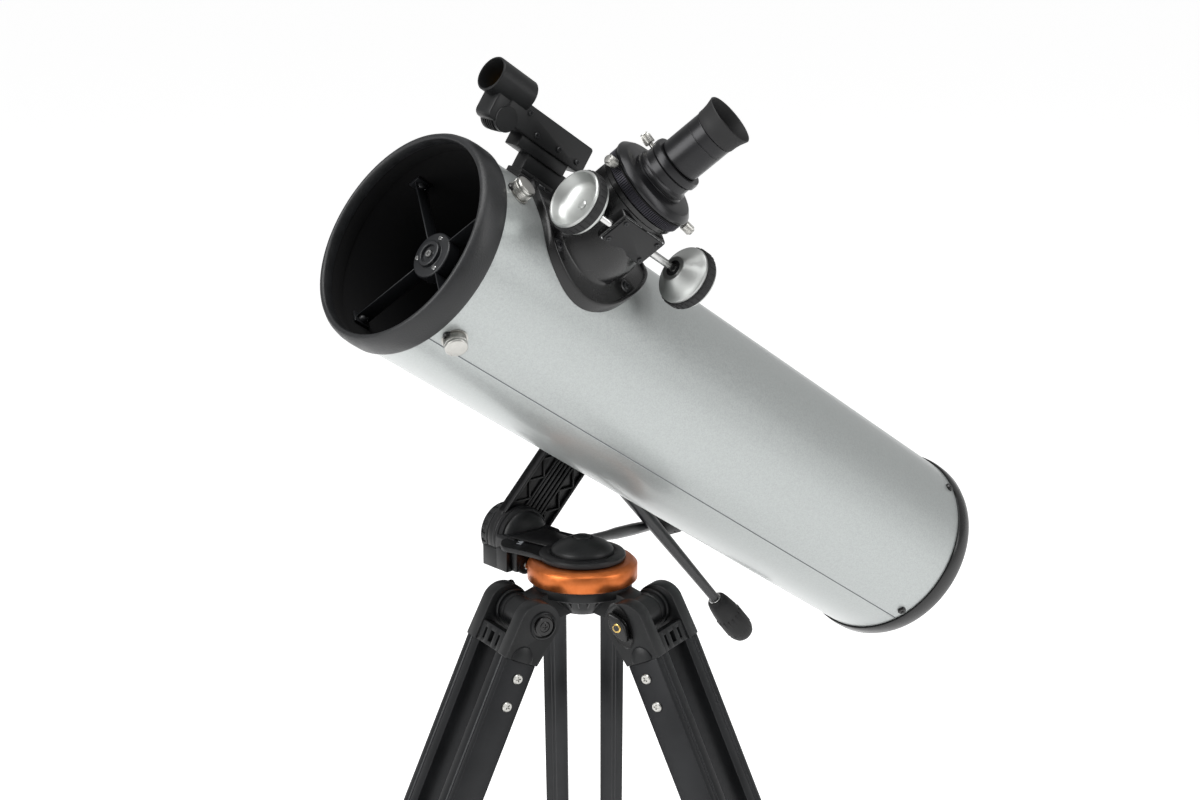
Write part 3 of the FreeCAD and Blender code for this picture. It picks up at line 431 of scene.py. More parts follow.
def piece(name, bm, where, body, material, stands_for=(), crease=32):
    """Places a bmesh in the frame, makes it an object and lets it ride on its body."""
    bmesh.ops.transform(bm, matrix=where @ Matrix.Scale(MM, 4), verts=bm.verts)
    bmesh.ops.recalc_face_normals(bm, faces=bm.faces)
    mesh = bpy.data.meshes.new(name)
    bm.to_mesh(mesh)
    bm.free()
    mesh.shade_smooth()
    mesh.set_sharp_from_angle(angle=math.radians(crease))
    mesh.materials.append(material)
    made = bpy.data.objects.new(name, mesh)
    bpy.context.scene.collection.objects.link(made)
    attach(made, body)
    if stands_for:
        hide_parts(*stands_for)
    print(name, len(mesh.polygons), "faces on", body)
    return made


def dress(name, material):
    """Gives a CAD node its finish."""
    slots = frame["nodes"][name].material_slots
    for k in range(len(slots)):
        slots[k].material = material
    if not slots:
        frame["nodes"][name].data.materials.append(material)

# %% [markdown]
# Screws recur all over the telescope. A pan head is a low dome with a cross recess. The recess is sunk into
# the top of the dome, so it reads as a dark cross from any angle.

# %% Screws
def cross_outline(arm, width):
    half = width / 2
    quarter = [(arm, -half), (arm, half), (half, half)]
    points = []
    for k in range(4):
        turn = Matrix.Rotation(math.radians(90 * k), 2)
        points += [tuple(turn @ Vector(p)) for p in quarter]
    return points


def cross_head(radius, height, spin=20.0):
    """Pan head along local Z with a cross recess."""
    rim = radius * 0.18
    ring = len(cross_outline(1, 0.4))
    head = bmesh.new()
    top = [head.verts.new((x, y, height)) for x, y in cross_outline(radius * 0.52, radius * 0.24)]
    floor = [head.verts.new((x, y, height * 0.45)) for x, y in cross_outline(radius * 0.46, radius * 0.2)]
    for k in range(ring):
        head.faces.new((top[k - 1], top[k], floor[k], floor[k - 1]))
    head.faces.new(floor)
    outer = [head.verts.new((x, y, height)) for x, y in disc(radius - rim, 24)]
    loop_in = [head.edges.get((top[k - 1], top[k])) for k in range(ring)]
    loop_out = [head.edges.new((outer[k - 1], outer[k])) for k in range(24)]
    bmesh.ops.triangle_fill(head, edges=loop_in + loop_out, use_beauty=True)
    shoulder = [head.verts.new((x, y, height * 0.55)) for x, y in disc(radius, 24)]
    base = [head.verts.new((x, y, 0)) for x, y in disc(radius, 24)]
    for low, high in ((outer, shoulder), (shoulder, base)):
        for k in range(24):
            head.faces.new((low[k - 1], low[k], high[k], high[k - 1]))
    head.faces.new(base)
    bmesh.ops.recalc_face_normals(head, faces=head.faces)
    bmesh.ops.rotate(head, cent=(0, 0, 0), matrix=Matrix.Rotation(math.radians(spin), 3, "Z"),
                     verts=head.verts)
    return head


def knurled(radius, z0, z1, teeth, depth, chamfer=0.5):
    """Straight-knurled cylinder: a star outline pushed along Z with chamfered ends."""
    outline = []
    for k in range(teeth):
        for part, r in ((0.0, radius), (0.3, radius), (0.5, radius - depth), (0.8, radius - depth)):
            angle = 2 * math.pi * (k + part) / teeth
            outline.append((r * math.cos(angle), r * math.sin(angle)))
    shrink = (radius - chamfer) / radius
    rings = [[(x * shrink, y * shrink, z0) for x, y in outline], [(x, y, z0 + chamfer) for x, y in outline],
             [(x, y, z1 - chamfer) for x, y in outline], [(x * shrink, y * shrink, z1) for x, y in outline]]
    return lofted(rings)


# Lays an outline drawn in X and Y into the XZ plane.
UPRIGHT = Matrix(((1, 0, 0, 0), (0, 0, 1, 0), (0, 1, 0, 0), (0, 0, 0, 1)))
print("helpers ready")

# %% [markdown]
# ## Optical tube
# The tube is a rolled sheet with a lap seam along its lower side. A spun shell gives a cleaner highlight
# than the faceted CAD wall; the flat black lining is a second shell inside, and the seam a thin raised strip
# of paint beside a dark grey strip, which is painted shadow under the edge of the lap.

# %% Tube and seam
TUBE_R = 81.0
TUBE_S0, TUBE_S1 = -403.8, 189.6
SEAM_PHI = 139.0
SHEET = 0.6
skin = spun([(TUBE_R, TUBE_S0), (TUBE_R, TUBE_S1), (TUBE_R - SHEET, TUBE_S1), (TUBE_R - SHEET, TUBE_S0)], 192)
AXIAL = along_z(TUBE, (1, 0, 0))
piece("tube_skin", skin, AXIAL, "optical_tube", paint, ("tube",))
lining = spun([(TUBE_R - 0.65, TUBE_S0), (TUBE_R - 0.65, TUBE_S1), (TUBE_R - 1.2, TUBE_S1),
               (TUBE_R - 1.2, TUBE_S0)], 128)
piece("tube_lining", lining, AXIAL, "optical_tube", flat_black)
# The dark grey strip under the lap is painted shadow: the shade beneath the lap edge, given as a colour.
seam_shadow = surface("painted_seam_shadow_grey", "55585C", 0.6)
seam = brick(TUBE_S0, TUBE_S1, -0.45, 0.45, TUBE_R - 0.2, TUBE_R + 0.08)
piece("tube_seam_shadow", seam, radial(0, SEAM_PHI), "optical_tube", seam_shadow)
lap = brick(TUBE_S0, TUBE_S1, -0.5, 0.5, TUBE_R - 0.2, TUBE_R + 0.18, 0.1)
piece("tube_seam_lap", lap, radial(0, SEAM_PHI + 0.7), "optical_tube", paint)

# %% [markdown]
# The front ring is a moulded bumper, fully rounded at the lip and pebbled all over. The rear cell is its
# smooth counterpart with the collimation knobs behind.

# %% Front ring and rear cell
lip = [(81.1, 176.5), (83.2, 176.5), (84.0, 178.5), (84.1, 186), (83.7, 191), (82.6, 195.4), (80.9, 198.2),
       (79.4, 199), (77.9, 198.6), (77.05, 197.2), (77.0, 190.2), (81.1, 190.2)]
piece("front_ring_moulding", spun(lip, 192), AXIAL, "optical_tube", pebble, ("front_ring",),
      crease=50)
sleeve = spun([(79.7, 178), (79.7, 190), (77.2, 190), (77.2, 184), (78.6, 178)], 128)
piece("front_ring_sleeve", sleeve, AXIAL, "optical_tube", flat_black)
cell = [(0, -421), (74, -421), (74, -422.5), (79, -422.5), (81.2, -421), (83, -416), (83.2, -409),
        (82.8, -405), (82.4, -404), (79.6, -404), (79.6, -392), (77, -392), (77, -417), (0, -417)]
rear = [spun(cell, 160)]
for angle in (90, 210, 330):
    y, z = 42 * math.cos(math.radians(angle)), 42 * math.sin(math.radians(angle))
    rear.append((knurled(7, 0, 6.0, 18, 0.5), at(y, z, -426.5)))
for k in range(12):
    rear.append((brick(46, 72, -1.2, 1.2, -422.6, -420.5, 0.4), at(spin=30 * k + 15)))
piece("rear_cell_moulding", group(*rear), AXIAL, "optical_tube", abs_black, ("rear_cell",))
dress("primary_mirror", mirror_glass)
print("rear cell at", TUBE_S0)

# %% [markdown]
# The spider holds the secondary mirror on four thin vanes. Its face is a turned disc with a raised ring, a
# centre screw and three small adjusting screws, which show clearly against the dark tube.

# %% Spider
SPIDER_S = 160.0
SCREW_PHI = 41.5


def vane_turn(k):
    """Turn about the tube axis that takes the top of the tube to a vane."""
    return Matrix.Rotation(math.radians(-(SCREW_PHI + 90 * k)), 4, "X")


hub = spun([(0, -5), (17.4, -5), (18, -4.2), (18, 5.2), (17.2, 6.2), (10.6, 6.2), (10.2, 6.6), (10.2, 9.2),
            (9.4, 9.8), (7.2, 9.8), (6.8, 9.2), (6.8, 7), (0, 7)], 96, 0.25)
painted_black = surface("aluminium_painted_satin_black", "1A1B1D", 0.34, 0.2)
grain(painted_black, 1.0, 0.01)
SPIDER = along_z(shifted(TUBE, SPIDER_S), (1, 0, 0))
stalk = spun([(0, -52), (6, -52), (6, -5), (0, -5)], 32, 0.4)
vanes = []
for k in range(4):
    turn = vane_turn(k)
    vanes.append((brick(-6, 6, -0.45, 0.45, 17, 79, 0.1), turn))
    vanes.append((brick(-7.5, 7.5, -5, 5, 77.2, 79.4, 0.6), turn))
    vanes.append((spun([(0, 0), (4.2, 0), (3.4, 3), (2.4, 4), (0, 4)], 24, 0.3),
                  turn @ at(0, 0, 77, (0, 0, -1))))
piece("spider_vanes", group(*vanes), shifted(TUBE, SPIDER_S), "optical_tube", painted_black,
      ("spider",))
piece("spider_hub", group(hub, stalk), SPIDER, "optical_tube", painted_black)
hub_screws = [(cross_head(3.2, 2.2), at(0, 0, 7))]
for k in range(3):
    a = math.radians(120 * k + 80)
    hub_screws.append((cross_head(1.9, 1.0, 10), at(13.8 * math.cos(a), 13.8 * math.sin(a), 6.2)))
piece("spider_screws", group(*hub_screws), SPIDER, "optical_tube", steel)
dress("secondary_mirror", mirror_glass)

# %% [markdown]
# Each vane is held by a plated nut outside the tube. The nut has a fine straight knurl and a plain crown;
# black button screws hold the ring and the cell.

# %% Nuts and screws on the tube
nuts, buttons = [], []
for k in range(4):
    turn = vane_turn(k)
    nuts.append((knurled(8.4, 81.2, 87.0, 56, 0.25, 0.4), turn @ at(SPIDER_S)))
    nuts.append((spun([(0, 86.8), (8.0, 86.8), (8.3, 87.4), (8.3, 89.4), (7.5, 90.2), (0, 90.2)], 64, 0.2),
                 turn @ at(SPIDER_S)))
    nuts.append((spun([(0, 80.8), (9.6, 80.8), (9.6, 81.3), (0, 81.4)], 48), turn @ at(SPIDER_S)))
    for s in (167.0, -397.0):
        buttons.append((cross_head(3.6, 2.2, 30), turn @ at(s, 0, 81.0)))
piece("vane_nuts", group(*nuts), TUBE, "optical_tube", nickel, ("tube_fasteners",))
piece("tube_button_screws", group(*buttons), TUBE, "optical_tube", abs_black)

# %% [markdown]
# ## Focuser
# The focuser is one moulding: a saddle that follows the tube, a rim band round it, a concave flare and a
# round tower. Lofting rings from the saddle outline to the tower circle gives the flowing shape.

# %% Focuser moulding
PAD = [(58, -6), (55, 12), (46, 36), (26, 51), (2, 56), (-22, 50), (-42, 34), (-56, 16), (-62, 0),
       (-56, -16), (-42, -34), (-22, -50), (2, -56), (26, -51), (46, -36), (55, -20)]
pad_outline = smooth_closed(PAD, 8)
pad_angles = [math.atan2(y, x) for x, y in pad_outline]


def on_tube(scale, radius, blend=0.0, circle=33.0, flat=None):
    """Ring of the saddle: outline scaled and blended towards a circle, on a cylinder or at a flat height."""
    ring = []
    for (x, y), angle in zip(pad_outline, pad_angles):
        cx = x * scale * (1 - blend) + circle * math.cos(angle) * blend
        cy = y * scale * (1 - blend) + circle * math.sin(angle) * blend
        saddle = math.sqrt(radius * radius - cy * cy)
        ring.append((cx, cy, saddle if flat is None else saddle * (1 - blend) + flat * blend))
    return ring


flare = [on_tube(1.0, 81.1), on_tube(1.0, 86.6), on_tube(0.992, 87.3), on_tube(0.978, 87.5),
         on_tube(0.962, 87.3), on_tube(0.955, 86.6), on_tube(0.95, 84.8), on_tube(0.94, 84.4),
         on_tube(0.74, 84.3), on_tube(0.72, 84.9), on_tube(0.71, 85.6, 0.12, 42, 89),
         on_tube(0.72, 86.5, 0.4, 39, 92), on_tube(0.78, 87, 0.75, 37.5, 97),
         on_tube(0.8, 87, 0.93, 35.0, 103), on_tube(0.8, 87, 1.0, 33.6, 110),
         on_tube(0.8, 87, 1.0, 33.1, 118), on_tube(0.8, 87, 1.0, 33.0, 130),
         on_tube(0.8, 87, 1.0, 34.6, 131.4), on_tube(0.8, 87, 1.0, 34.8, 134.9),
         on_tube(0.8, 87, 1.0, 34.2, 135.5), on_tube(0.8, 87, 1.0, 26, 135.5)]
piece("focuser_moulding", lofted(flare), FOCUS, "optical_tube", abs_black, ("focuser_body",),
      crease=38)

HOUSING = shifted(FOCUS, SHAFT.x, 0, SHAFT.z)
housing = group((plate(rounded(46, 27, 2.5), 10, 32.4, 0.8), at(5, 0, 1, (0, 1, 0))),
                (plate(rounded(50, 31, 7), 6, 22, 1.6), at(5, 0, 1, (0, 1, 0))))
piece("pinion_housing", housing, HOUSING, "optical_tube", abs_black)
cover = plate(rounded(42, 24, 1.4), 32.4, 34.6, 0.35)
cover_face = at(5.2, 0, 1.2, (0, 1, 0))
piece("pinion_cover", group((cover, cover_face)), HOUSING, "optical_tube", powder)
# A thin bright band peeking out under the cover's lower edge: a painted highlight standing in for the lit edge.
highlight_rim_line = plate(rounded(42.7, 24.7, 1.6), 32.2, 32.9)
piece("pinion_cover_edge_highlight", group((highlight_rim_line, cover_face)), HOUSING, "optical_tube", painted_highlight_edge)
cover_screws = [(cross_head(1.9, 1.1, 25), at(5.2 + sx * 17.4, 34.6, 1.2 + sz * 8.6, (0, 1, 0)))
                for sx in (-1, 1) for sz in (-1, 1)]
piece("pinion_cover_screws", group(*cover_screws), HOUSING, "optical_tube", painted_black)

# %% [markdown]
# Four screws hold the saddle to the tube. They sit on the ledge just inside the rim band.

# %% Saddle screws
saddle_screws = []
for x, y in ((39, 31), (-35, 28), (39, -31), (-35, -28)):
    z = math.sqrt(84.4 ** 2 - y * y)
    saddle_screws.append((spun([(0, -1), (4.9, -1), (4.9, 0.1), (3.8, 0.6), (0, 0.6)], 32),
                          at(x, y, z, (0, y, z))))
    saddle_screws.append((cross_head(3.4, 1.6, 35), at(x, y, z + 0.3, (0, y, z))))
piece("saddle_screws", group(*saddle_screws), FOCUS, "optical_tube", painted_black)

# %% [markdown]
# Each focus knob is a turned aluminium dish with a rubber band round its rim: a deep bright bowl outside and
# a cone inside, whose hollow end is not cut but painted as shade, a thin flat black ring. Both are spun, and the
# band carries moulded bars across it.

# %% Focus knobs
knob_metal, knob_rubber = [], []
for way in (-1, 1):
    end = at(axis=(way, 0, 0))
    dish = [(3, 44), (9.4, 44), (10.4, 44.6), (11.4, 46), (19.8, 53.4), (21.6, 54.2), (22.3, 55),
            (22.3, 57.2), (21.6, 57.4), (21.6, 65.2), (22.4, 65.4), (22.3, 66.8), (21.6, 67.5), (20.6, 67.5),
            (19.6, 66.4), (18.4, 62.6), (15.6, 59.6), (10, 57.6), (3, 57.2), (0, 57.2), (0, 50), (3, 50)]
    knob_metal.append((spun(dish, 128), end))
    knob_metal.append((spun([(0, 57), (3.0, 57), (3.4, 57.6), (2.4, 58.6), (0, 58.8)], 48), end))
    band = [(21.2, 57.3), (23.1, 57.3), (23.4, 58), (23.4, 64.6), (23.1, 65.2), (21.2, 65.2)]
    knob_rubber.append((spun(band, 96), end))
    for k in range(30):
        knob_rubber.append((brick(22.9, 23.8, -1.5, 1.5, 58, 64.5, 0.25), end @ at(spin=12 * k)))
KNOBS = shifted(FOCUS, *SHAFT)
shaft = spun([(0, -46), (2.9, -46), (2.9, 46), (0, 46)], 32, 0.3)
piece("focus_knob_dishes", group(*knob_metal), KNOBS, "focus_shaft", satin_aluminium,
      ("focus_knobs",), crease=30)
piece("focus_knob_bands", group(*knob_rubber), KNOBS, "focus_shaft", rubber)
piece("focus_shaft_rod", group((shaft, at(axis=(1, 0, 0)))), KNOBS, "focus_shaft", steel)
# The hollow end of each knob is not cut: a thin flat black ring on the end face is painted shade standing in for
# it.
hollow_shade_rings = [(spun([(3.2, 43.9), (6.2, 43.9), (6.2, 44.15), (3.2, 44.15)], 64),
            at(axis=(way, 0, 0))) for way in (-1, 1)]
piece("focus_knob_hollow_shade", group(*hollow_shade_rings), KNOBS, "focus_shaft", flat_black)

# %% [markdown]
# The drawtube carries a knurled ring, a bevelled flange, and a neck with two collars. The knurl is a star
# outline with 130 teeth, so the ring glitters as a machined one does.

# %% Drawtube, ring, flange and neck
piece("drawtube_ring", knurled(36.2, 136.0, 143.4, 130, 0.7, 0.5), FOCUS, "drawtube", knurl_grey,
      ("knurled_ring",))
inner_tube = [(21, 72), (25, 72), (25, 136), (25, 144), (34, 144), (35.4, 144.6), (36.9, 145.0),
              (37.2, 145.6), (37.2, 147.0), (36.6, 147.8), (33.2, 150.8), (32.2, 151.3), (21.5, 151.3),
              (21, 150.8)]
piece("drawtube_flange", spun(inner_tube, 128), FOCUS, "drawtube", eyepiece_black,
      ("drawtube",))
neck = [(16.2, 150.8), (21.6, 150.8), (22.2, 151.4), (22.2, 152.6), (21.0, 153.4), (21.0, 154.6),
        (21.9, 155.2), (21.9, 156.8), (20.8, 157.6), (20.2, 158.4), (20.2, 164.2), (20.9, 165), (21.6, 166),
        (21.6, 169.4), (20.9, 171.4), (16.2, 171.5)]
piece("eyepiece_neck", spun(neck, 128), FOCUS, "drawtube", eyepiece_black,
      ("eyepiece_holder",))
ring_seat = spun([(33, 143.2), (36.4, 143.2), (36.4, 144.2), (33, 144.2)], 96)
piece("ring_seat", ring_seat, FOCUS, "drawtube", flat_black)
thumbs = []
for angle, q, reach in ((5, 142.4, 36.8), (161, 139.7, 36.8), (-52, 162, 20.4)):
    a = math.radians(angle)
    way = (math.cos(a), math.sin(a), 0)
    set_at = at(reach * way[0], reach * way[1], q, way)
    thumbs.append((spun([(0, 0), (1.7, 0), (1.7, 3.2), (0, 3.2)], 24), set_at))
    thumbs.append((knurled(3.9, 3, 10.8, 22, 0.3, 0.5), set_at))
    thumbs.append((spun([(0, 10.6), (3.1, 10.6), (2.7, 11.7), (0, 12)], 32), set_at))
piece("thumbscrews", group(*thumbs), FOCUS, "drawtube", nickel, ("clamp_screws",))

# %% [markdown]
# The eyepiece is a plain anodised barrel with a groove two thirds of the way up, and a soft eyecup that
# flares like a trumpet. No lettering is drawn on it.

# %% Eyepiece
barrel = [(0, 152), (15.8, 152), (15.8, 171.7), (17.0, 171.8), (17.35, 172.2), (17.35, 195.2), (17.0, 195.5),
          (17.0, 195.9), (17.35, 196.2), (17.35, 204.4), (16.9, 205), (16.5, 205.2), (16.5, 210), (13, 211.2),
          (12.4, 208.5), (0, 207.6)]
piece("eyepiece_barrel", spun(barrel, 128), FOCUS, "eyepiece", eyepiece_black,
      ("eyepiece",))
cup = [(16.6, 205.1), (17.5, 205.1), (17.9, 206), (18.1, 210), (18.7, 214), (20.0, 218.6), (20.2, 219.5),
       (19.8, 220.1), (19.2, 219.6), (17.8, 214.8), (17.2, 210.6), (16.6, 210.3)]
piece("eyecup_rubber", spun(cup, 128), FOCUS, "eyepiece", rubber, ("eyecup",))
lens = surface("glass_coated_dark", "0E1016", 0.05, 0.0, Coat_Weight=1.0, Coat_Roughness=0.03)
eye_lens = spun([(0, 207.6), (12.3, 207.6), (11, 208.6), (6, 209.3), (0, 209.5)], 64)
piece("eye_lens", eye_lens, FOCUS, "eyepiece", lens)

# %% [markdown]
# ## Sighting tube
# The finder is a black moulding: a long box body on a clamped foot, a ribbed hinge barrel at its nose and a
# short tube whose coated lens glints amber; the glint is painted into the lens as a flat amber colour.

# %% Sighting tube
FINDER_Q = 134.3
floor_q = TUBE_R + 20.2
SIGHT = radial(127, 3.0)
case = group((plate(rounded(87, 21.5, 2.5), -9.8, 9.8, 0.9), at(2.5, 0, floor_q + 18.75, (0, 1, 0), 0)))
piece("finder_case", case, SIGHT, "optical_tube", nylon, ("finder_body",))
tube_x = along_z(shifted(SIGHT, 0, 0, FINDER_Q), (1, 0, 0))
sight_wall = [(13.6, 30.4), (13.6, 65.4), (13.2, 66), (12.2, 66), (12.0, 65.4), (12.0, 31), (13.0, 30)]
piece("finder_tube", spun(sight_wall, 96), tube_x, "optical_tube", nylon)
# The amber disc is a painted glint of the lens coating.
glint = spun([(0, 40), (11.9, 40), (11.9, 40.8), (8, 42.2), (0, 43)], 64)
piece("finder_lens", glint, tube_x, "optical_tube", painted_amber_glint)
nose = group((plate(rounded(28, 24, 5), -9, 9, 1.2), at(44, 0, floor_q + 16, (0, 1, 0))),
                     (spun([(0, -10), (9.4, -10), (9.8, -9.4), (9.8, -6.6), (9.2, -6), (9.2, 6), (9.8, 6.6),
                            (9.8, 9.4), (9.4, 10), (0, 10)],
                           64), at(42, 0, floor_q + 10, (0, 1, 0))))
piece("finder_nose", nose, SIGHT, "optical_tube", nylon)
ribs = [(spun([(9.0, y), (10.1, y), (10.1, y + 1.1), (9.0, y + 1.1)], 64), at(42, 0, floor_q + 10, (0, 1, 0)))
        for y in (-4.6, -2.0, 0.6, 3.2)]
piece("finder_nose_ribs", group(*ribs), SIGHT, "optical_tube", rubber)
foot = group(brick(-43, 8, -6.5, 6.5, TUBE_R + 4, TUBE_R + 21, 0.8),
             brick(-27, 11, -12, 12, TUBE_R - 2.5, TUBE_R + 3.6, 1.0),
             brick(-25, 9, -9, 9, TUBE_R + 3, TUBE_R + 7.5, 0.8),
             brick(-28, 22, -8, 8, floor_q - 1, floor_q + 9, 0.8))
piece("finder_foot", foot, SIGHT, "optical_tube", nylon, ("finder_bracket",))
fixings = []
for x, z in ((26, floor_q + 24), (-12, floor_q + 14), (12, floor_q + 13), (-32, floor_q + 14)):
    fixings.append((cross_head(2.2, 1.1, 15), at(x, 9.8, z, (0, 1, 0))))
piece("finder_screws", group(*fixings), SIGHT, "optical_tube", painted_black)

# %% [markdown]
# ## Head
# The azimuth ring is turned from bar and anodised orange. The plate above it is a teardrop casting: round
# over the ring, narrowing to a lug that carries the folding hinge.

# %% Ring, plate and cap
ring = [(25, 0), (42.6, 0), (43.7, 1.1), (43.7, 12.6), (43.0, 13.6), (40.4, 16.0), (39.4, 16.5), (31.2, 16.5),
        (31.2, 9), (25, 9)]
piece("turned_ring", spun(ring, 192), RING, "tripod", orange, ("azimuth_ring",), crease=50)
flange = [(0, 9), (30.9, 9), (30.9, 16.6), (33.4, 16.9), (34.4, 17.8), (34.4, 20.4), (33.4, 21.6),
          (30.6, 22.4), (27.4, 22.5), (26.4, 21.9), (0, 21.9)]
teardrop = smooth_closed([(-31.5, 3), (-33.5, 26), (-37.5, 41), (-40, 51), (-36, 60), (-26, 68), (-8, 69),
                          (14, 68), (20, 61), (24, 46), (29, 20), (31.5, 3), (16, -14), (-16, -14)], 6)
tear = plate(teardrop, 16.9, 21.4, 1.3, 3, (2.2, 0.9))
ledge = plate([(-12, 20), (16, 18), (14.5, 66), (-22, 66)], 21, 22.3, 0.5)
lug = group((plate(rounded(50, 21.5, 3), 60.2, 82, 1.2), at(1, 0, 10.4, (0, 1, 0))))
cheek_cut = brick(-34, 30, 46.2, 60, -0.6, 17.2, 2.2)
worm_block = brick(-34, -13, 41.6, 60, -0.4, 17.0, 2.2)
nose_lug = group((spun([(0, 0), (7.6, 0), (7.6, 4), (6.8, 5), (0, 5)], 48, 0.3),
                  at(-24, 46.2, 4.6, (0, -1, 0))))
piece("head_casting", group(spun(flange, 160), tear, ledge, lug), RING, "azimuth_head", powder,
      ("azimuth_base",))
piece("worm_case", group(cheek_cut, worm_block, nose_lug, brick(-39, -33.4, 48, 62, -0.4, 18, 0.8),
                         brick(-38.8, -35.4, 62, 80, -0.6, 16, 0.8)),
      RING, "azimuth_head", nylon, ("azimuth_worm_box",))
piece("worm_case_screw", group((cross_head(3.1, 1.4, 20), at(-24, 41.2, 4.6, (0, -1, 0)))), RING,
      "azimuth_head", nickel)
dome = [(0, 21.7), (24.6, 21.7), (24.6, 24.4), (24.0, 25.4), (19, 29.3), (12, 32.7), (8.4, 33.9), (8.2, 33.1),
        (7.3, 33.1), (7.0, 34.5), (5.8, 35.0), (0, 35.2)]
piece("cap_dome", spun(dome, 128), RING, "azimuth_head", nylon, ("top_cap",), crease=40)
ticks = []
for k in range(9):
    length = 5 if k % 2 == 0 else 3
    ticks.append((brick(-0.35, 0.35, 0, length, 20.4, 20.75), at(-24 + 2 * k, 48 + 1.4 * k, 0, spin=12)))
print_grey = surface("ink_printed_light_grey", "8D9094", 0.6)
piece("scale_ticks", group(*ticks), RING, "azimuth_head", print_grey)
HINGE = along_z(Matrix.Translation((hinge_point.x, 0, hinge_point.z)), (0, 1, 0))
collar = [(4.2, 77.6), (21.6, 77.6), (23.4, 78.2), (24.5, 79.6), (24.5, 81.2), (23.6, 81.8), (23.6, 82.6),
          (24.5, 83.2), (24.5, 85.5), (4.2, 85.5)]
piece("hinge_collar", spun(collar, 128), HINGE, "azimuth_head", powder)
cap = [(0, 70.2), (5, 70.3), (11, 71.0), (16.4, 72.4), (19.6, 74.4), (21.4, 76.4), (21.8, 77.7), (0, 77.7)]
piece("hinge_dome", spun(cap, 96), HINGE, "azimuth_head", nylon, ("hinge_cap",), crease=45)

# %% [markdown]
# The folding lock is a drum with twenty raised pads all round, so that a thumb can turn it.

# %% Folding lock
drum = [spun([(0, 96.5), (22.6, 96.5), (24, 97.8), (24, 99.4), (22.8, 99.6), (22.8, 104.2), (23.6, 104.4),
              (23.6, 105.8), (22, 106.6), (18, 107), (17, 110), (0, 110.2)], 128, 0.2)]
for k in range(20):
    drum.append((brick(22.2, 23.9, -2.2, 2.2, 99.2, 104.6, 0.5), at(spin=18 * k)))
drum.append(spun([(0, 79), (3.9, 79), (3.9, 97), (0, 97)], 32))
piece("fold_drum", group(*drum), HINGE, "fold_lock_knob", nylon, ("fold_lock",))

# %% [markdown]
# The arm is a ribbed casting. Four ridges run up its middle between two ladders of zigzag ribs, and a rim
# frames the whole face that looks at the tube.

# %% Arm
ARM_LENGTH = (altitude_point - hinge_point).length / MM
FACE = 86.0
BACK = 96.0
ARM_HALF = 24.4
ARM_HEAD_R = 35.8
RIM = 2.6
arm_parts = []
outline = (disc(ARM_HALF, 20, 180, 180) + [(ARM_HALF, 20), (ARM_HALF, ARM_LENGTH - 40)]
           + disc(ARM_HEAD_R, 28, -42, 264, 0, ARM_LENGTH) + [(-ARM_HALF, ARM_LENGTH - 40), (-ARM_HALF, 20)])
arm_parts.append((plate(outline, FACE + 2.4, BACK, 1.0), UPRIGHT))
arm_parts.append((plate(disc(ARM_HALF, 64), FACE, FACE + 4, 0.8), UPRIGHT))
arm_parts.append((plate(disc(ARM_HEAD_R, 72, 0, 360, 0, ARM_LENGTH), FACE, FACE + 20, 1.2), UPRIGHT))
arm_parts.append(brick(-ARM_HALF, RIM - ARM_HALF, FACE, BACK, 6, ARM_LENGTH - 24, 0.6))
arm_parts.append(brick(ARM_HALF - RIM, ARM_HALF, FACE, BACK, 6, ARM_LENGTH - 24, 0.6))
for x in (-6.4, -2.1, 2.1, 6.4):
    arm_parts.append(brick(x - 1.3, x + 1.3, FACE + 0.4, FACE + 4, 16, ARM_LENGTH - 28, 0.4))
for x in (-9.6, 9.6):
    arm_parts.append(brick(x - 0.8, x + 0.8, FACE, FACE + 4, 16, ARM_LENGTH - 28, 0.3))
STEP = 11.0
for way in (-1, 1):
    for k in range(9):
        low, high = (10.8, 21.4) if k % 2 else (21.4, 10.8)
        x0, z0, x1, z1 = way * low, 18 + STEP * k, way * high, 18 + STEP * (k + 1)
        length = math.hypot(x1 - x0, z1 - z0)
        lean = math.degrees(math.atan2(x1 - x0, z1 - z0))
        rib = brick(-0.8, 0.8, FACE + 0.2, FACE + 3.6, 0, length, 0.3)
        arm_parts.append((rib, Matrix.Translation((x0, 0, z0)) @ Matrix.Rotation(math.radians(lean), 4, "Y")))
piece("arm_casting", group(*arm_parts), ARM, "arm", powder, ("mount_arm",))
alt_rod = Vector(joints["altitude_slow_motion"]["axis"])
ALT_ROD = along_z(Matrix.Translation(Vector(joints["altitude_slow_motion"]["pos_m"])), alt_rod)
CASE_TO_AXIS = 4.8
worm = spun([(3.6, -33), (8.2, -33), (9, -32), (9, 31), (8.4, 32.6), (6.5, 33), (3.6, 33)], 64)
# The case is cut flat where it meets the arm's face, so the saddle turns clear of it.
to_tube = ALT_ROD.to_3x3().inverted() @ Vector((0, -1, 0))
cut = bmesh.ops.bisect_plane(worm, geom=worm.verts[:] + worm.edges[:] + worm.faces[:],
                             plane_co=to_tube * CASE_TO_AXIS, plane_no=to_tube, clear_outer=True)["geom_cut"]
bmesh.ops.edgeloop_fill(worm, edges=[edge for edge in cut if isinstance(edge, bmesh.types.BMEdge)])
piece("altitude_worm_case", worm, ALT_ROD, "arm", powder)

# %% [markdown]
# Both slow-motion controls are plastic rods with a soft oval grip. The azimuth rod swells towards its middle,
# and a small bright washer sits where the altitude grip meets its rod.

# %% Rods and grips
GRIP = [(0, 0), (5.6, 0), (7.4, 0.6), (8.9, 2.6), (10, 7.5), (11.0, 15), (11.9, 25), (12.3, 36), (12.1, 43),
        (11.2, 49), (9.6, 53), (7.4, 55.2), (5, 56.3), (0, 56.9)]
az_axis = Vector(joints["azimuth_slow_motion"]["axis"])
AZ_ROD = along_z(Matrix.Translation(Vector(joints["azimuth_slow_motion"]["pos_m"])), az_axis)


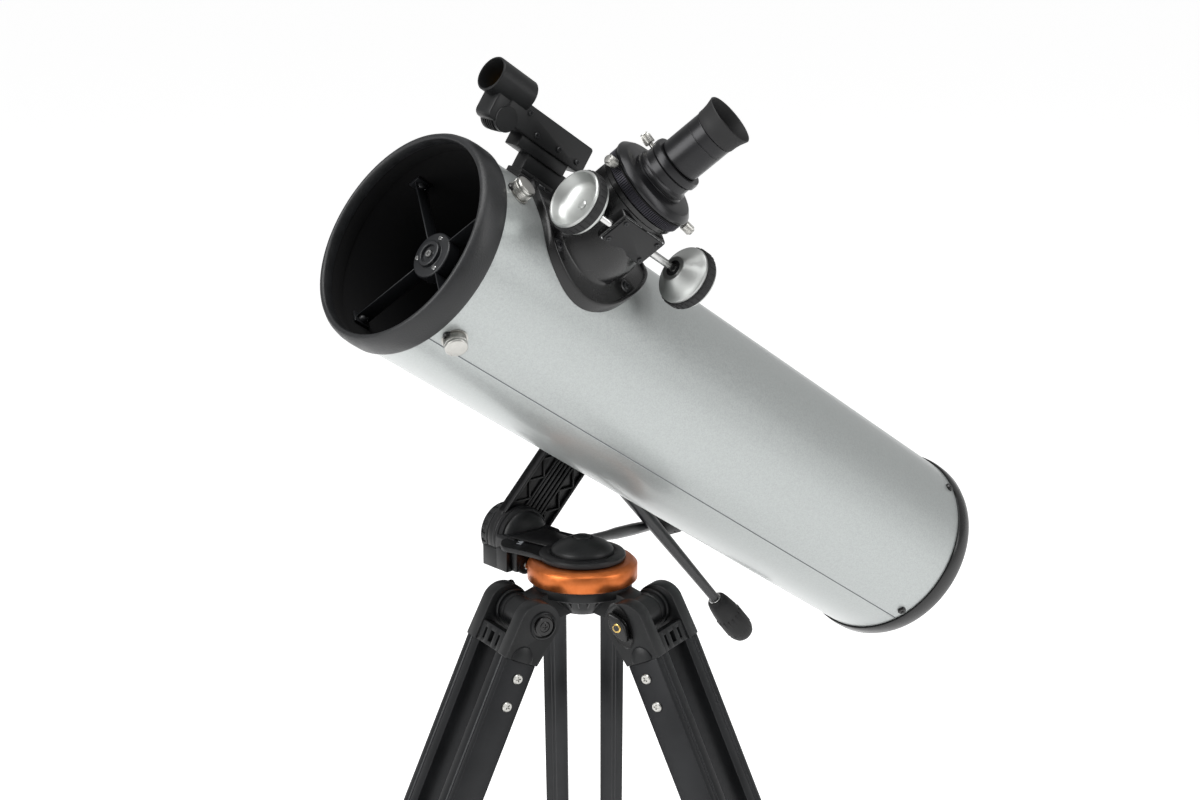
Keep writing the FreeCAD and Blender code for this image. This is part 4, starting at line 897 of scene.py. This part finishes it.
def grip(start):
    """Oval grip with faint moulded flutes along it."""
    parts = [(spun(GRIP, 96), at(z=start))]
    for k in range(16):
        flute = brick(11.3, 12.25, -0.5, 0.5, 22, 46, 0.4)
        parts.append((flute, at(z=start, spin=22.5 * k)))
    return group(*parts)


rod_plastic = surface("nylon_drawn_satin_black", "1A1B1D", 0.34, Specular_IOR_Level=0.5)
mottle(rod_plastic, 16, "18191B", "1D1E20", (0.32, 0.37))
az_shape = [(0, -49), (4.1, -49), (4.1, 4), (4.3, 12), (5.0, 26), (5.2, 60), (4.7, 92), (3.9, 112),
            (3.9, 119), (0, 119)]
piece("azimuth_control_rod", spun(az_shape, 64), AZ_ROD, "azimuth_control", rod_plastic,
      ("azimuth_rod",), crease=60)
piece("azimuth_control_grip", grip(114), AZ_ROD, "azimuth_control", rubber,
      ("azimuth_grip",), crease=60)
alt_shape = [(0, -28), (3.5, -28), (3.5, 34), (6.0, 35), (6.4, 38), (6.2, 90), (5.4, 150), (4.6, 210),
             (4.3, 241), (0, 241)]
piece("altitude_control_rod", spun(alt_shape, 64), ALT_ROD, "altitude_control", rod_plastic,
      ("altitude_rod",), crease=60)
piece("altitude_control_grip", grip(241), ALT_ROD, "altitude_control", rubber,
      ("altitude_grip",), crease=60)
washer = spun([(4.2, 239.4), (5.4, 239.4), (5.7, 240), (5.4, 240.8), (4.2, 240.8)], 48)
piece("altitude_grip_washer", washer, ALT_ROD, "altitude_control", steel)

# %% [markdown]
# ## Tripod
# The crown under the ring is ribbed and arched. Its three barrels carry concentric collars that show between
# the cheeks of each leg.

# %% Crown
crown = [spun([(0, -10), (30, -10), (38.5, -9), (39.4, -8), (39.4, -0.3), (24, -0.3), (24, 9), (0, 9)], 128,
              0.3),
         spun([(0, -26), (15, -26), (17.5, -25), (24, -19), (31, -9), (0, -9)], 96)]
for k in range(24):
    crown.append((plate([(16, -24.5), (36, -9), (36, -8), (15, -8)], -0.6, 0.6, 0.2),
                  at(spin=15 * k) @ Matrix.Rotation(math.radians(90), 4, "X")))
for number in LEGS:
    pivot = RING.inverted() @ Vector(joints[f"leg_{number}_spread"]["pos_m"]) / MM
    azimuth = math.degrees(math.atan2(pivot.y, pivot.x))
    reach = math.hypot(pivot.x, pivot.y)
    arm_side = plate([(8, pivot.z - 1), (reach, pivot.z - 11.6), (reach, pivot.z + 11.6), (30, -1), (8, -1)],
                     -11.8, 11.8, 1.4)
    crown.append((arm_side, at(spin=azimuth) @ Matrix.Rotation(math.radians(90), 4, "X")))
    collars = [(0, -18.6), (12.2, -18.6), (12.8, -18), (12.8, -17), (15.2, -16.9), (15.8, -16.2),
               (15.8, -14.6), (15.2, -14), (13.4, -13.8), (13.4, -11), (14.2, -10.6), (14.2, -8),
               (13.4, -7.6), (13.4, 7.6), (14.2, 8), (14.2, 10.6), (13.4, 11), (13.4, 13.8),
               (15.2, 14), (15.8, 14.6), (15.8, 16.2), (15.2, 16.9), (12.8, 17), (12.8, 18), (12.2, 18.6),
               (0, 18.6)]
    crown.append((spun(collars, 64), at(spin=azimuth) @ at(reach, 0, pivot.z, (0, 1, 0))))
piece("crown_moulding", group(*crown), RING, "tripod", nylon, ("tripod_hub",))

# %% [markdown]
# Each leg head is a fork: two cheeks with a raised rim, joined by a slotted web, and an arched thumb bump
# where the rail starts. One cheek sinks the bolt head in a dish, and the other carries a wing nut inside an
# oval ring, whose darker black is painted shade for the recess round the nut.

# %% Leg heads, screws, nuts
CHEEK_IN, CHEEK_OUT = 19.0, 33.6
RAIL_TOP = -32.0
cheek_outline = disc(17.5, 28, 0, 180, 3, 0) + [(-8.2, RAIL_TOP), (22, RAIL_TOP)]
wing_blades, wing_cores, plug_parts = [], [], []
for number in LEGS:
    LEG = leg_frame(number)
    body = f"leg_{number}"
    parts = []
    for way in (-1, 1):
        mirror = Matrix.Diagonal((1, way, 1, 1))
        parts.append((plate(cheek_outline, CHEEK_IN, CHEEK_OUT, 0.9, 2, (2.4, 0.9)), mirror @ UPRIGHT))
        bump = spun([(0, 0), (8.6, 0), (8.2, 1.2), (6.6, 2.2), (4, 2.9), (0, 3.1)], 48)
        bmesh.ops.scale(bump, vec=(1.15, 1.5, 1.1), verts=bump.verts)
        bmesh.ops.bisect_plane(bump, geom=bump.verts[:] + bump.edges[:] + bump.faces[:], plane_co=(0, 0.4, 0),
                               plane_no=(0, 1, 0), clear_inner=True)
        parts.append((bump, mirror @ Matrix.Translation((7, CHEEK_OUT - 1.2, RAIL_TOP))
                      @ Matrix.Rotation(math.radians(-90), 4, "X")
                      @ Matrix.Diagonal((1, -1, 1, 1))))
    for y in (-15.4, -6, 6, 15.4):
        parts.append(brick(8, 20.4, y - 3.0 if abs(y) < 10 else y - 3.4, y + 3.0 if abs(y) < 10 else y + 3.4,
                           RAIL_TOP, -17, 0.5))
    parts.append(brick(8.4, 20.2, -18.8, 18.8, -20, -15.6, 0.6))
    parts.append(brick(8.4, 20.2, -18.8, 18.8, RAIL_TOP, RAIL_TOP + 3.4, 0.6))
    ring_shape = [(10.4, 0), (9.4, 0), (9.4, 1.4), (10.0, 1.9), (10.8, 1.4), (11.2, 0)]
    parts.append((spun(ring_shape, 48), at(0, CHEEK_OUT - 1.0, 0, (0, 1, 0))))
    oval = smooth_closed([(0, 19), (7.4, 12), (9.4, 0), (7.4, -12), (0, -19), (-7.4, -12), (-9.4, 0),
                          (-7.4, 12)], 5)
    piece(f"leg_{number}_fork", group(*parts), LEG, body, nylon, (f"leg_{number}_head",))
    plug_parts.append((spun([(0, 0), (9.3, 0), (9.3, 0.3), (7.6, 0.5), (7.6, 2.6), (7.0, 3.2), (4.4, 3.2),
                             (4.0, 2.4), (0, 2.4)], 48),
                       LEG, at(0, CHEEK_OUT - 1.2, 0, (0, 1, 0))))
    plug_parts.append((cross_head(4.2, 1.2, 20), LEG, at(0, CHEEK_OUT + 1.0, 0, (0, 1, 0))))
    plug_parts.append((spun([(0, -39.8), (2.9, -39.8), (2.9, 33), (0, 33)], 24), LEG, at(0, 0, 0, (0, 1, 0))))
    leaf = plate([(0, 13.4), (2.6, 10.4), (4.8, 6.2), (6.1, 2), (6.1, -2), (4.8, -6.2), (2.6, -10.4),
                  (0, -13.4), (-2.6, -10.4), (-4.8, -6.2), (-6.1, -2), (-6.1, 2), (-4.8, 6.2),
                  (-2.6, 10.4)], 0.2, 5.0, 1.1, 3)
    wing_blades.append((leaf, LEG, at(0, -CHEEK_OUT - 0.2, 0, (0, -1, 0), 14)))
    wing_blades.append((spun([(0, 0), (6.6, 0), (6.6, 1.0), (5.6, 2.6), (0, 2.6)], 40, 0.2), LEG,
                        at(0, -CHEEK_OUT, 0, (0, -1, 0))))
    wing_cores.append((spun([(1.9, 0), (3.6, 0), (3.6, 5.8), (3.1, 6.2), (2.3, 6.2), (1.9, 5.8)], 32), LEG,
                       at(0, -CHEEK_OUT, 0, (0, -1, 0))))
    # A raised oval ring round the wing nut in the darker ABS black: its darker tone is painted shade standing in
    # for the recess that the nut sits in.
    oval_shade_ring = plate(oval, 0, 0.5, 0.2, 1, (1.2, 0.4))
    wing_blades.append((oval_shade_ring, LEG, at(0, -CHEEK_OUT + 0.7, 0, (0, -1, 0))))


def in_frames(items):
    """Puts parts given with a frame in metres into one bmesh in millimetres of the world."""
    to_mm = Matrix.Scale(1 / MM, 4)
    return group(*[(bm, to_mm @ where @ Matrix.Scale(MM, 4) @ local) for bm, where, local in items])


for number in LEGS:
    nickel_parts = [(cross_head(4.1, 1.9, 25 + 40 * k), leg_frame(number),
                     at(5, way * CHEEK_OUT, z, (0, way, 0)))
                    for way in (-1, 1) for k, z in enumerate((-45.0, -68.0))]
    piece(f"leg_{number}_pan_screws", in_frames(nickel_parts), WORLD, f"leg_{number}", nickel,
          (f"leg_{number}_screws",))
piece("wing_nut_blades_and_recess_shade", in_frames(wing_blades), WORLD, "tripod", abs_black,
      ("pivot_wing_nuts",))
piece("wing_nut_cores", in_frames(wing_cores), WORLD, "tripod", brass)
piece("pivot_plugs", in_frames(plug_parts), WORLD, "tripod", abs_black, ("pivot_bolts",))

# %% [markdown]
# The rails are drawn aluminium sections, anodised black. Their corners are small, so each edge catches the
# light as a thin line, and a shallow groove runs down their outer and inner faces.

# %% Rails
RAIL_X0, RAIL_X1 = -6.25, 20.25
RAIL_IN = 14.2
RAIL_END = RAIL_TOP - 608.0
for number in LEGS:
    rails = []
    for way in (-1, 1):
        section = [(RAIL_X0, RAIL_IN), (RAIL_X1, RAIL_IN), (RAIL_X1, 24), (RAIL_X1 - 0.7, 24.5),
                   (RAIL_X1 - 0.7, 27), (RAIL_X1, 27.5), (RAIL_X1, CHEEK_OUT), (RAIL_X0, CHEEK_OUT),
                   (RAIL_X0, 27.5), (RAIL_X0 + 0.7, 27), (RAIL_X0 + 0.7, 24.5), (RAIL_X0, 24)]
        rails.append((plate(section, RAIL_END, RAIL_TOP, 0.55), Matrix.Diagonal((1, way, 1, 1))))
    piece(f"leg_{number}_drawn_rails", group(*rails), leg_frame(number), f"leg_{number}", rail_black,
          (f"leg_{number}_rails",))
    for node_name, finish in (("clamp", nylon), ("extension", rail_black), ("foot", rubber), ("lock", nylon)):
        dress(f"leg_{number}_{node_name}", finish)
    dress(f"brace_{number}_strut", rail_black)
for node_name, finish in (("brace_hub", nylon), ("accessory_tray", nylon), ("saddle", powder),
                          ("saddle_knob", nylon), ("dovetail_bar", powder)):
    dress(node_name, finish)

# %% [markdown]
# ## Light and camera
# Big soft boxes on both sides and overhead give the long clean highlights of a studio shot. The floor is
# pale and plain, and runs far enough back to fill the view.

# %% Studio
floor_mesh = bmesh.new()
bmesh.ops.create_grid(floor_mesh, x_segments=1, y_segments=1, size=60)
floor_data = bpy.data.meshes.new("studio_floor")
floor_mesh.to_mesh(floor_data)
floor_mesh.free()
floor = bpy.data.objects.new("studio_floor", floor_data)
bpy.context.scene.collection.objects.link(floor)
floor_paint = surface("paper_white_backlit", "E8E8E8", 0.9, Specular_IOR_Level=0.1, Emission_Strength=0.62)
floor_paint.node_tree.nodes["Principled BSDF"].inputs["Emission Color"].default_value = (1, 1, 1, 1)
floor_data.materials.append(floor_paint)
floor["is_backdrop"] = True

world = bpy.data.worlds.new("studio")
bpy.context.scene.world = world
world.use_nodes = True
world.node_tree.nodes["Background"].inputs["Color"].default_value = (1, 1, 1, 1)
world.node_tree.nodes["Background"].inputs["Strength"].default_value = 0.45
# Standard keeps white paper white; the default film curve would turn it grey.
bpy.context.scene.view_settings.view_transform = "Standard"
centre = Vector((0, 0, 0.83))


def softbox(name, azimuth, elevation, distance, width, height, power):
    """Area light aimed at the telescope, placed by compass and height."""
    a, e = math.radians(azimuth), math.radians(elevation)
    way = Vector((math.sin(a) * math.cos(e), -math.cos(a) * math.cos(e), math.sin(e)))
    data = bpy.data.lights.new(name, "AREA")
    data.shape = "RECTANGLE"
    data.size, data.size_y, data.energy = width, height, power
    light = bpy.data.objects.new(name, data)
    light.location = centre + way * distance
    light.rotation_euler = (-way).to_track_quat("-Z", "Y").to_euler()
    bpy.context.scene.collection.objects.link(light)
    return light


softbox("key_left", -95, 30, 2.6, 1.4, 2.4, 70)
softbox("fill_right", 30, 25, 3.0, 0.9, 2.4, 32)
softbox("top_sheet", -40, 78, 2.6, 1.6, 2.0, 55)

# %% Camera
AZIMUTH, ELEVATION = math.radians(-39.62), math.radians(14.03)
DISTANCE = 1.77875
back = Vector((math.sin(AZIMUTH) * math.cos(ELEVATION), -math.cos(AZIMUTH) * math.cos(ELEVATION),
               math.sin(ELEVATION)))
camera_data = bpy.data.cameras.new("camera")
camera_data.lens = 67.2
camera_data.sensor_width = 36.0
camera = bpy.data.objects.new("camera", camera_data)
camera.location = Vector((0.0325, 0.0174, 0.8366)) + back * DISTANCE
camera.rotation_euler = (-back).to_track_quat("-Z", "Y").to_euler()
bpy.context.scene.collection.objects.link(camera)
bpy.context.scene.camera = camera
print("camera at", tuple(camera.location))

# %% Sizes and end
low, high = (list(corner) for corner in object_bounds())
